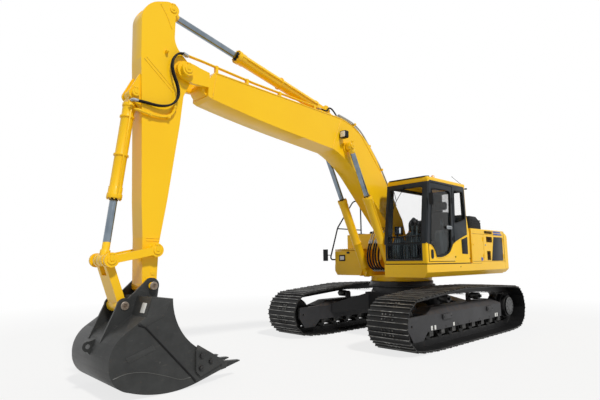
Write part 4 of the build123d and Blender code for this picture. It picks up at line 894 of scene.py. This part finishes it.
def make_side_trim():
    """Dark blank panel, two blue stripes, painted shadow between the louvres' slats, small blue mark, latches, hinges,
    plugs and seams of the housings.
    """
    side = left_face(HOUSING_SIDE)
    panel = Fitting("rear_door_panel", "panel", "left_rear_door")
    corners = ((-1.56, 1.508), (-1.712, 2.044), (-2.192, 2.044), (-2.178, 1.508))
    panel.plate(side, rounded(corners, 0.012), 0.003, edge=0.001).made()
    stripes = Fitting("blue_stripes", "stripe")
    stripes.plate(side, ((-1.7, 2.138), (-1.69, 2.176), (-2.105, 2.176), (-2.115, 2.138)), 0.004, edge=0.001)
    stripes.plate(side, ((-1.715, 2.088), (-1.702, 2.124), (-2.15, 2.124), (-2.158, 2.088)), 0.004, edge=0.001)
    stripes.made()
    for name, body, x0, x1, z0, z1, slats in LOUVRE_PAINTED_SHADOWS:
        # dark strips of painted shadow in the gaps between the slats
        shade = Fitting(name, "dark_and_painted_shade", body)
        pitch = (z1 - z0) / slats
        for k in range(slats):
            low = z0 + pitch * (k + 0.2)
            shade.plate(side, box_outline(x0, x1, low, low + pitch * 0.5), 0.0016, edge=0.0004)
        shade.made()
    mark = Fitting("small_blue_mark", "stripe", "left_front_door")
    mark.plate(side, pad(-1.115, -1.02, 1.512, 1.582, 0.006), 0.002, edge=0.0008).made()
    for body, sign, latch_x, hinge_x, finish in SIDE_DOORS:
        latch = Fitting(body + "_latch", finish, body)
        outline = pad(latch_x - 0.03, latch_x + 0.018, 1.838, 1.872, 0.01)
        latch.plate(side_face(sign, HOUSING_SIDE), outline, 0.007, edge=0.002)
        button = ((0, 0.01), (0.006, 0.01), (0.008, 0.007))
        latch.turned((latch_x, sign * (HOUSING_SIDE + 0.006), 1.855), (0, sign, 0), button).made()
        hinges = Fitting(body + "_hinges", "yellow")
        for z in (1.6, 1.98):
            hinges.rod((hinge_x - 0.022, sign * (HOUSING_SIDE + 0.004), z - 0.045), UP, 0.09, 0.009, 12)
        hinges.made()
    plugs = Fitting("frame_plugs", "dark_and_painted_shade")
    for x, z in ((0.125, 1.596), (-0.493, 1.559)):
        plugs.turned((x, 1.3795, z), LEFT, ((0, 0.018), (0.004, 0.018), (0.006, 0.012)))
    plugs.turned((-0.068, 1.3795, 1.396), LEFT, ((0, 0.012), (0.003, 0.012), (0.005, 0.008))).made()
    seam = Fitting("deck_seam", "rubber")
    corner = (1.205, 1.374, 1.464)
    seam.bar((corner, (-0.56, 1.374, 1.464)), 0.01).bar((corner, (1.205, 0.455, 1.464)), 0.01)
    seam.bar(((-0.6, 1.3785, 1.456), (-1.05, 1.3785, 1.456)), 0.003).made()
    line = Fitting("housing_seams", "dark_and_painted_shade")
    for y in (1.381, -1.381):
        line.bar(((-2.2795, y, 1.47), (-2.2795, y, 2.185)), 0.0035)
    line.made()


def make_deck_fittings():
    """Tank caps, tread plates, latches, mirror glasses, lamp lenses and the air cleaner's cover."""
    caps = Fitting("tank_caps")
    for x, radius in ((-0.22, 0.058), (-0.88, 0.048)):
        skirt = radius * 1.15
        profile = ((0, skirt), (0.012, skirt), (0.012, radius), (0.045, radius * 0.96), (0.052, radius * 0.8))
        caps.turned((x, -0.93, 2.179), UP, profile, 24)
        caps.block((x - 0.012, -0.93 - radius * 0.8, 2.228), (x + 0.012, -0.93 + radius * 0.8, 2.24))
    caps.made()
    tread = Fitting("tread_plates", "charcoal")
    for x0, x1, columns in ((-0.55, 0.1, 9), (-1.2, -0.75, 6)):
        tread.plate(top_face(2.1805), pad(x0, x1, -1.32, -1.05, 0.02), 0.005, edge=0.002)
        tread.studs(x0 + 0.06, -1.265, 2.1845, columns, 4, 0.06, 0.055)
    tread.made()
    lid = Fitting("lid_tread", "charcoal", "toolbox_lid")
    lid.plate(top_face(1.8063), pad(0.26, 0.6, -1.32, -0.8, 0.02), 0.005, edge=0.002)
    lid.studs(0.3, -1.28, 1.811, 5, 8, 0.065, 0.062).made()
    latch = Fitting("toolbox_latch")
    latch.plate(front_face(0.6403), pad(-1.02, -0.94, 1.7, 1.745, 0.01), 0.012, edge=0.003).made()
    glass = Fitting("mirror_glasses", "mirror")
    glass.plate(rear_face(0.8195), pad(-1.565, -1.455, 1.552, 1.798, 0.015), 0.003, edge=0.001)
    glass.plate(rear_face(1.0995), pad(1.436, 1.5, 2.572, 2.778, 0.012), 0.003, edge=0.001).made()
    lens = Fitting("front_lamp_lens", "lens")
    lens.plate(front_face(0.6462), pad(-1.222, -1.098, 1.562, 1.648, 0.01), 0.008, edge=0.003).made()
    rim = Fitting("front_lamp_rim")
    opening = pad(-1.236, -1.084, 1.549, 1.661, 0.012)
    rim.plate(front_face(0.6405), pad(-1.25, -1.07, 1.535, 1.675, 0.015), 0.01, (opening,), 0.003).made()
    lens = Fitting("boom_lamp_lens", "lens", "boom")
    lens.plate(front_face(2.2505), pad(0.258, 0.374, 3.89, 4.0, 0.02), 0.01, edge=0.004).made()
    cover = Fitting("air_cleaner_cover")
    outline = ((-2.08, 2.2), (-1.6, 2.2), (-1.58, 2.44), (-1.68, 2.56), (-2.06, 2.565))
    cover.plate(left_face(-0.76), rounded(outline, 0.05), 0.29, edge=0.015)
    for k in range(6):
        z = 2.25 + 0.045 * k
        cover.block((-1.585, -0.74, z), (-1.572, -0.49, z + 0.018))
    cover.made()
    hood = Fitting("hood_latch", "black", "engine_hood")
    hood.block((-1.935, 0.905, 2.235), (-1.845, 0.928, 2.265), 0.005)
    hood.bar([(-1.95, y, z) for y, z in ((0.2, 2.59), (0.23, 2.622), (0.37, 2.622), (0.4, 2.59))], 0.008).made()


# ---- boom, arm and bucket
BOOM_SIDE, ARM_SIDE, BUCKET_SIDE = 0.2203, 0.1503, 0.6103
PIN_CAPS = (
    # name, body, x, z, outer y, cap radius
    ("boom_front_pin_cap", "boom", 5.55, 4.27, 0.29, 0.062),
    ("boom_cylinder_eye_cap", "boom", 2.05, 3.74, 0.39, 0.06),
    ("boom_cylinder_base_cap", "upper", 0.81, 1.27, 0.434, 0.06),
    ("link_arm_pin_cap", "tipping_links", 5.92, 1.7, 0.262, 0.056),
    ("link_tip_pin_cap", "tipping_links", 6.5, 1.58, 0.262, 0.058),
    ("bucket_pin_end", "bucket", 5.96, 1.25, 0.2685, 0.052),
    ("link_bucket_pin_end", "bucket", 6.3, 1.02, 0.213, 0.052),
    ("arm_cylinder_eye_cap", "arm", 5.74, 5.16, 0.15, 0.055),
    ("bucket_cylinder_base_cap", "arm", 6.245, 3.78, 0.15, 0.052),
)


def make_pin_caps():
    """Ends of the pins, each with its keeper plate and bolts."""
    for name, body, x, z, y, radius in PIN_CAPS:
        bare = name.endswith("_end")
        cap = Fitting(name, "pin" if bare else "yellow", body)
        dished = (
            (0, radius), (0.01, radius), (0.014, radius - 0.005), (0.014, radius * 0.45), (0.01, radius * 0.38),
            (0.01, 0.002),
        )
        for sign in (1, -1):
            out = (0, sign, 0)
            cap.turned((x, sign * (y - 0.001), z), out, dished, 24)
            if not bare:
                tab = ((-0.024, -0.014), (0.024, -0.014), (0.03, radius + 0.03), (-0.03, radius + 0.03))
                keeper = rounded([(x + u, z + v) for u, v in tab], 0.012)
                cap.plate(side_face(sign, y), keeper, 0.018, edge=0.003)
                for u in (-0.014, 0.014):
                    cap.bolt((x + u, sign * (y + 0.017), z + radius + 0.014), out, 0.008)
        cap.made()


CYLINDERS = (
    # name, body, base pin, eye pin, sides, distance to the gland's face, gland radius, bolts
    ("boom_gland", "boom_barrels", (0.81, 1.27), (2.05, 3.74), (0.325, -0.325), 1.7, 0.098, 8),
    ("arm_gland", "arm_barrel", (2.45, 4.43), (5.74, 5.16), (0.0,), 2.12, 0.113, 10),
    ("bucket_gland", "bucket_barrel", (6.245, 3.78), (6.5, 1.58), (0.0,), 1.43, 0.096, 10),
)


def make_glands():
    """Bolted gland of each cylinder and the dark wiper ring round its rod."""
    for name, body, base, eye, sides, reach, radius, count in CYLINDERS:
        run = Vector((eye[0] - base[0], 0, eye[1] - base[1])).normalized()
        across = Vector(LEFT)
        other = run.cross(across)
        bolts = Fitting(name + "_bolts", "yellow", body)
        ring = Fitting(name + "_wiper", "rubber", body)
        lip = ((-0.004, radius - 0.034), (0.01, radius - 0.036), (0.014, radius - 0.042), (0.014, 0.052))
        for y in sides:
            face = Vector((base[0], y, base[1])) + run * reach
            for k in range(count):
                angle = 2 * pi * (k + 0.5) / count
                spot = face + (across * cos(angle) + other * sin(angle)) * (radius - 0.016)
                bolts.turned(spot, run, ((-0.002, 0.011), (0.014, 0.011), (0.016, 0.009)), 6)
            ring.turned(face, run, lip, 28)
        bolts.made()
        ring.made()


def make_seams():
    """Weld beads and flange edges of boom, arm and bucket, a dark line painted as the shadow of the bucket's side seam,
    the bucket's corner plates, bolts and blank label.
    """
    boom = Fitting("boom_beads", "yellow", "boom")
    boom.bead(left_face(BOOM_SIDE), ((2.15, 4.283), (1.86, 4.215), (1.57, 4.068), (0.945, 3.4)), 0.009)
    for sign in (1, -1):
        face = side_face(sign, BOOM_SIDE)
        boom.bead(face, ((5.055, 4.372), (3.6, 4.329), (2.15, 4.283)), 0.009)
        boom.bead(face, ((5.04, 4.372), (5.082, 4.14), (5.104, 3.975)), 0.01)
        boom.bead(face, ((2.179, 4.27), (2.357, 3.863), (2.452, 3.65)), 0.006)
    boom.made()
    arm = Fitting("arm_beads", "yellow", "arm")
    for sign in (1, -1):
        face = side_face(sign, ARM_SIDE)
        for line in (
            ((6.149, 4.292), (5.714, 3.92)),
            ((6.11, 4.319), (5.7, 3.968)),
            ((6.035, 1.861), (5.848, 1.857)),
            ((6.031, 1.827), (5.852, 1.821)),
        ):
            arm.bead(face, line, 0.006)
        arm.bead(face, ((5.935, 5.165), (5.836, 5.025), (5.752, 4.85)), 0.007)
        boss = ((-0.002, 0.034), (0.006, 0.032), (0.008, 0.016))
        arm.turned((5.922, sign * 0.15, 1.412), (0, sign, 0), boss, 18)
    arm.turned((5.825, 0.149, 4.492), (0.2, 1, -0.2), ((0, 0.026), (0.045, 0.022), (0.06, 0.012)), 14).made()
    heel = through(((6.57, 0.274), (6.412, 0.307), (6.197, 0.287), (5.927, 0.197), (5.744, 0.129), (5.6, 0.13)), 4)
    blank = rounded(((6.437, 0.476), (6.114, 0.583), (6.078, 0.525), (6.399, 0.414)), 0.012)
    corner = ((6.14, 1.125), (6.205, 0.912), (6.29, 0.855), (6.225, 0.8), (5.98, 0.9), (5.905, 1.075))
    corner = rounded(corner, 0.02)
    beads = Fitting("bucket_beads", "bucket", "bucket")
    seam = Fitting("bucket_side_seam_painted_shadow", "rubber", "bucket")
    doubler = Fitting("bucket_corner_plates", "bucket", "bucket")
    bolts = Fitting("side_cutter_bolts", "frame", "bucket")
    cap = ((0, 0.04), (0.006, 0.04), (0.007, 0.03), (0.022, 0.028), (0.026, 0.02))
    for sign in (1, -1):
        face = side_face(sign, BUCKET_SIDE)
        beads.bead(face, heel, 0.006)
        beads.plate(face, blank, 0.006, edge=0.0025)
        beads.plate(face, box_outline(6.01, 6.03, 0.36, 0.38), 0.003)
        # black bead along the diagonal seam: painted shadow of its groove
        seam.bead(face, ((6.3, 0.826), (6.216, 0.794), (5.575, 0.117), (5.53, 0.06)), 0.012)
        doubler.plate(face, corner, 0.007, edge=0.003)
        for x, z in ((5.469, 0.372), (5.332, 0.285), (5.473, 0.222)):
            bolts.turned((x, sign * 0.637, z), (0, sign, 0), cap)
    for piece in (beads, seam, doubler, bolts):
        piece.made()
    label = Fitting("bucket_blank_label", "white", "bucket")
    shell = Face((6.188, 0, 1.006), LEFT, (-0.281, 0, 0.9597), (0.9597, 0, 0.281))
    label.plate(shell, pad(0.43, 0.545, -0.06, 0.06, 0.008), 0.003, edge=0.001).made()


def hose(name, bodies, points, radius):
    """Hose on a smooth line, with a bright ferrule and nut at both ends; it rides its body when both ends share one,
    and stays fixed in place otherwise.
    """
    piece = Fitting(name, "rubber", None).tube(points, radius).made()
    first, last = bodies
    if first == last:
        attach(piece, first)
    else:
        tuple(at(*points[0]))
        tuple(at(*points[-1]))
        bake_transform(piece)
    crimp = (
        (-0.045, radius * 0.75), (-0.02, radius * 0.75), (-0.02, radius * 1.5), (0.002, radius * 1.5),
        (0.002, radius * 1.25), (0.05, radius * 1.25), (0.052, radius * 1.05),
    )
    for tag, body, end, inner in (("start", first, *points[:2]), ("end", last, *points[:-3:-1])):
        way = (Vector(inner) - Vector(end)).normalized()
        Fitting(f"{name}_{tag}_ferrule", "bright", body).turned(end, way, crimp, 12).made()


S_HOSE = (
    (5.545, 0.206, 4.512), (5.597, 0.21, 4.527), (5.7, 0.216, 4.48), (5.775, 0.224, 4.33), (5.742, 0.232, 4.15),
    (5.668, 0.236, 4.0), (5.655, 0.236, 3.83), (5.77, 0.23, 3.69), (5.95, 0.212, 3.65), (6.14, 0.19, 3.672),
    (6.27, 0.18, 3.668),
)
BOOM_PIPE_RUN = (
    (2.2125, 4.364), (1.972, 4.331), (1.731, 4.268), (1.511, 4.147), (1.266, 3.898), (1.065, 3.684), (0.862, 3.453),
    (0.581, 3.022), (0.376, 2.718),
)
BOOM_PIPE_CLIPS = (
    # x, z and the way out of the boom's back
    (1.731, 4.268, (-0.4, 0, 0.917)),
    (1.266, 3.898, (-0.721, 0, 0.693)),
    (0.862, 3.453, (-0.807, 0, 0.59)),
)


def make_hoses():
    """Hoses over the joints, pipes on the boom's back and the pipe round the arm."""
    hose("boom_to_arm_hose", ("boom", "arm"), S_HOSE, 0.0145)
    inner = [(x + 0.006, y - 0.03, z - 0.004) for x, y, z in S_HOSE]
    hose("boom_to_arm_inner_hose", ("boom", "arm"), inner, 0.0125)
    # loops between the deck's valves and the pipes under the boom foot
    tails = Fitting("boom_foot_pipes", "bright", "boom")
    for k, letter in enumerate("abcde"):
        y = -0.115 + 0.07 * k
        ahead = 0.02 * (k % 2)
        port = (0.945 + ahead, y, 1.935)
        tails.tube(((0.7, y, 2.235), (0.8, y, 2.18), (0.89 + ahead, y, 2.05), port), 0.012)
        loop = (
            port, (1.0 + ahead, y, 1.82), (1.05 + ahead, y, 1.66), (1.04, y, 1.5), (0.95, y, 1.38),
            (0.8, y, 1.335),
        )
        hose("boom_foot_hose_" + letter, ("boom", "upper"), loop, 0.018)
    tails.made()
    loop = (
        (2.765, 0.18, 4.371), (2.66, 0.18, 4.371), (2.52, 0.16, 4.372), (2.44, 0.14, 4.47), (2.34, 0.124, 4.475),
        (2.26, 0.12, 4.42), (2.2, 0.14, 4.34),
    )
    hose("arm_cylinder_loop", ("boom", "boom"), loop, 0.015)
    pipes = Fitting("boom_back_pipes", "bright", "boom")
    for y in (0.19, 0.14, -0.14, -0.19):
        pipes.tube([(x, y, z) for x, z in BOOM_PIPE_RUN], 0.015)
    pipes.made()
    clips = Fitting("boom_pipe_clips", "yellow", "boom")
    for x, z, out in BOOM_PIPE_CLIPS:
        for y in (0.165, -0.165):
            clips.rod((x, y - 0.05, z), LEFT, 0.1, 0.027, 8)
            clips.rod((x - 0.05 * out[0], y, z - 0.05 * out[2]), out, 0.05, 0.022, 8)
    clips.made()
    pipe = Fitting("arm_round_pipe", "yellow", "arm")
    run = (
        (6.23, 0.12, 3.56), (6.215, 0.18, 3.545), (6.138, 0.186, 3.525), (5.976, 0.186, 3.508),
        (5.82, 0.186, 3.522), (5.715, 0.186, 3.59), (5.69, 0.186, 3.69),
    )
    pipe.tube(run, 0.02).rod((5.69, 0.186, 3.68), UP, 0.035, 0.028, 6).made()
    bracket = Fitting("arm_pipe_brackets", "yellow", "arm")
    for x, z in ((6.05, 3.516), (5.78, 3.54)):
        bracket.block((x - 0.018, 0.149, z - 0.026), (x + 0.018, 0.205, z + 0.026))
    bracket.made()


# ---- undercarriage
TRACK_MIDDLE = 1.295
TRACK_FRAME_SIDE = 1.4853
SHOE_PITCH = 0.2117
STRIP_AREA = (0.0225, 0.0255)
STRIP_REACH = 0.04
SHOE_REACH = 0.1
SAME_WAY = 0.999
SHOE_BOLT_ROWS = (-0.2, 0.2)
SHOE_BOLT_COLUMNS = (-0.105, -0.045, 0.045, 0.105)
GROUSERS = (
    # place along the shoe in pitches, height over the plate
    (-0.41, 0.0262),
    (0.0, 0.0223),
    (0.41, 0.0262),
)
RUBBED_HALF_WIDTH = 0.0056
RUBBED_HALF_LENGTH = 0.395
RUBBED_DEPTH = 0.0012


def gathered(spots, reach):
    """Middles of the groups of near spots that face one way."""
    groups = []
    for spot, out in spots:
        for group in groups:
            gap = group[0][0] - spot
            if Vector((gap.x, gap.z)).length < reach and group[0][1].dot(out) > SAME_WAY:
                group.append((spot, out))
                break
        else:
            groups.append([(spot, out)])
    return [(sum((spot for spot, out in group), Vector()) / len(group), group[0][1]) for group in groups]


def shoe_places(node):
    """Middle and outward direction of each shoe plate, from the flat strips between its grousers."""
    facets = [
        (facet.center.copy(), facet.normal.copy())
        for facet in node.data.polygons
        if abs(facet.normal.y) < 0.01 and STRIP_AREA[0] < facet.area < STRIP_AREA[1]
    ]
    return gathered(gathered(facets, STRIP_REACH), SHOE_REACH)


def make_shoe_details():
    """Bolts of the track shoes and the rubbed tops of their grousers."""
    for name, sign in (("track_left", 1), ("track_right", -1)):
        bolts = Fitting(name + "_bolts", "steel", "undercarriage")
        worn = Fitting(name + "_grouser_tops", "worn", "undercarriage")
        for middle, out in shoe_places(frame["nodes"][name]):
            along = Vector((out.z, 0, -out.x))
            spot = Vector((middle.x, sign * TRACK_MIDDLE, middle.z))
            for s in SHOE_BOLT_ROWS:
                for across in SHOE_BOLT_COLUMNS:
                    foot = spot + along * (s * SHOE_PITCH) + Vector((0, across, 0)) - SWING_FOOT
                    bolts.turned(foot, out, ((0, 0.016), (0.011, 0.015)), 6)
            for s, height in GROUSERS:
                foot = spot + along * (s * SHOE_PITCH) + out * height
                edge = box_outline(-RUBBED_HALF_WIDTH, RUBBED_HALF_WIDTH, -RUBBED_HALF_LENGTH, RUBBED_HALF_LENGTH)
                ring = [foot + along * u + Vector((0, v, 0)) for u, v in edge]
                base = [worn.mesh.verts.new(corner) for corner in ring]
                top = [worn.mesh.verts.new(corner + out * RUBBED_DEPTH) for corner in ring]
                worn.mesh.faces.new(base)
                worn.mesh.faces.new(top)
                for k in range(4):
                    n = (k + 1) % 4
                    worn.mesh.faces.new((base[k], base[n], top[n], top[k]))
        bolts.made()
        worn.made()


def make_track_fittings():
    """Blank labels, side steps, final drive covers, bolts and shoe details of the undercarriage."""
    labels = Fitting("track_frame_labels", "white", "undercarriage")
    steps = Fitting("track_frame_steps", "charcoal", "undercarriage")
    bolts = Fitting("undercarriage_bolts", "frame", "undercarriage")
    covers = Fitting("final_drive_covers", "engine", "undercarriage")
    drive_rings = (
        (0, 0.195), (0.006, 0.195), (0.012, 0.186), (0.012, 0.11), (0.02, 0.1), (0.02, 0.04), (0.016, 0.034),
        (0.016, 0.004),
    )
    for sign in (1, -1):
        out = (0, sign, 0)
        face = side_face(sign, TRACK_FRAME_SIDE)
        for x in (1.345, 1.228, -1.3, -1.386):
            labels.plate(face, pad(x - 0.029, x + 0.029, 0.312, 0.388, 0.006), 0.002, edge=0.0008)
        labels.plate(face, pad(0.52, 0.578, 0.312, 0.376, 0.006), 0.002, edge=0.0008)
        for x0, x1 in ((0.64, 0.97), (-1.125, -0.87)):
            steps.plate(face, pad(x0, x1, 0.462, 0.556, 0.02), 0.03, edge=0.006)
            for x in (x0 + 0.035, x1 - 0.035):
                bolts.bolt((x, sign * 1.515, 0.509), out, 0.012)
        for k in range(7):
            bolts.bolt((1.3 - 0.46 * k, sign * 1.485, 0.335), out, 0.011)
        x, z = -2.0135, 0.486
        covers.turned((x, sign * 1.509, z), out, drive_rings, 36)
        for k in range(12):
            angle = 2 * pi * k / 12
            bolts.bolt((x + 0.15 * cos(angle), sign * 1.52, z + 0.15 * sin(angle)), out, 0.011)
        hub = ((0, 0.075), (0.01, 0.075), (0.016, 0.062), (0.016, 0.004))
        covers.turned((2.0135, sign * 1.4335, 0.474), out, hub, 24)
    for piece in (labels, steps, bolts, covers):
        piece.made()
    make_shoe_details()
    ring = Fitting("slew_ring_bolts", "frame", "undercarriage")
    for k in range(36):
        angle = 2 * pi * k / 36
        ring.rod((0.7 * cos(angle), 0.7 * sin(angle), 0.992), UP, 0.004, 0.016, 8)
    ring.made()


# ---- studio
EYE = (8.636, 5.75, 1.539)
EYE_YAW = radians(226.1)
EYE_PITCH = radians(7.78)
EYE_ROLL = radians(-0.62)
LENS_MM = 26.92
SENSOR_MM = 36.0
FAR_CLIP = 300.0
WHITE = (1.0, 1.0, 1.0, 1.0)
WORLD_LIGHT = 0.3
WORLD_TINT = (0.92, 0.96, 1.0, 1.0)
KEY_TOWARDS = (0.12, 0.64, 0.76)
KEY_STRENGTH = 2.45
KEY_SPREAD = radians(6)
KEY_WARMTH = (1.0, 0.985, 0.95)
FLOOR_HALF = 120.0
FLOOR_WHITE = 0.78
FLOOR_FADE = (7.0, 13.0)


def make_camera():
    data = bpy.data.cameras.new("camera")
    data.lens = LENS_MM
    data.sensor_width = SENSOR_MM
    data.clip_end = FAR_CLIP
    camera = bpy.data.objects.new("camera", data)
    bpy.context.collection.objects.link(camera)
    ahead = Vector((cos(EYE_YAW) * cos(EYE_PITCH), sin(EYE_YAW) * cos(EYE_PITCH), sin(EYE_PITCH)))
    right = Vector((sin(EYE_YAW), -cos(EYE_YAW), 0.0))
    up = right.cross(ahead)
    across = right * cos(EYE_ROLL) + up * sin(EYE_ROLL)
    above = up * cos(EYE_ROLL) - right * sin(EYE_ROLL)
    turn = Matrix((across, above, -ahead)).transposed().to_4x4()
    camera.matrix_world = Matrix.Translation(at(*EYE)) @ turn
    bpy.context.scene.camera = camera


def make_key_lamp():
    """Far soft lamp over the machine's left side."""
    data = bpy.data.lights.new("key", "SUN")
    data.energy = KEY_STRENGTH
    data.angle = KEY_SPREAD
    data.color = KEY_WARMTH
    lamp = bpy.data.objects.new("key", data)
    bpy.context.collection.objects.link(lamp)
    lamp.rotation_euler = (-Vector(KEY_TOWARDS)).to_track_quat("-Z", "Y").to_euler()
    lamp.location = at(*KEY_TOWARDS)


def make_world():
    """Soft light on the machine, white where it is seen."""
    world = bpy.data.worlds.new("studio")
    bpy.context.scene.world = world
    world.use_nodes = True
    sky = Nodes(world.node_tree)
    sky.tree.nodes.clear()
    soft = sky.add("Background", {}, {"Color": WORLD_TINT, "Strength": WORLD_LIGHT})
    white = sky.add("Background", {}, {"Color": WHITE})
    sky.add("OutputWorld", {}, {"Surface": sky.whitened(soft, white)})


def make_floor():
    """Pale floor, which keeps the machine's shadow and runs out into white."""
    mesh = bpy.data.meshes.new("floor")
    corners = box_outline(-FLOOR_HALF, FLOOR_HALF, -FLOOR_HALF, FLOOR_HALF)
    mesh.from_pydata([(x, y, 0) for x, y in corners], [], [(0, 1, 2, 3)])
    floor = bpy.data.objects.new("floor", mesh)
    bpy.context.collection.objects.link(floor)
    floor.location.z = -0.002
    f = Finish("floor_paint", {"Roughness": 0.9, "Specular IOR Level": 0.05})
    f.set({"Base Color": f.mix(f.noise(0.4, 3.0) * 0.2, hue("dfdedc"), hue("d8d7d5"))})
    far = f.add("VectorMath", {"operation": "LENGTH"}, {0: f.place}, output="Value")
    strength = FLOOR_WHITE + (1 - FLOOR_WHITE) * f.rise(far, *FLOOR_FADE)
    look = f.whitened(Value(f, f.shader.outputs[0]), f.add("Emission", {}, {"Color": WHITE}), strength)
    f.feed(f.tree.nodes["Material Output"].inputs["Surface"], look)
    mesh.materials.append(f.material)


bpy.context.scene.view_settings.view_transform = "Standard"
for make in (
    make_camera, make_world, make_floor, make_key_lamp, dress_frame, make_cab_side_trim, make_door_trim,
    make_screen_trim, make_cab_grille, make_roof_fittings, make_seat, make_cab_inside, make_side_trim,
    make_deck_fittings, make_pin_caps, make_glands, make_seams, make_hoses, make_track_fittings,
):
    make()
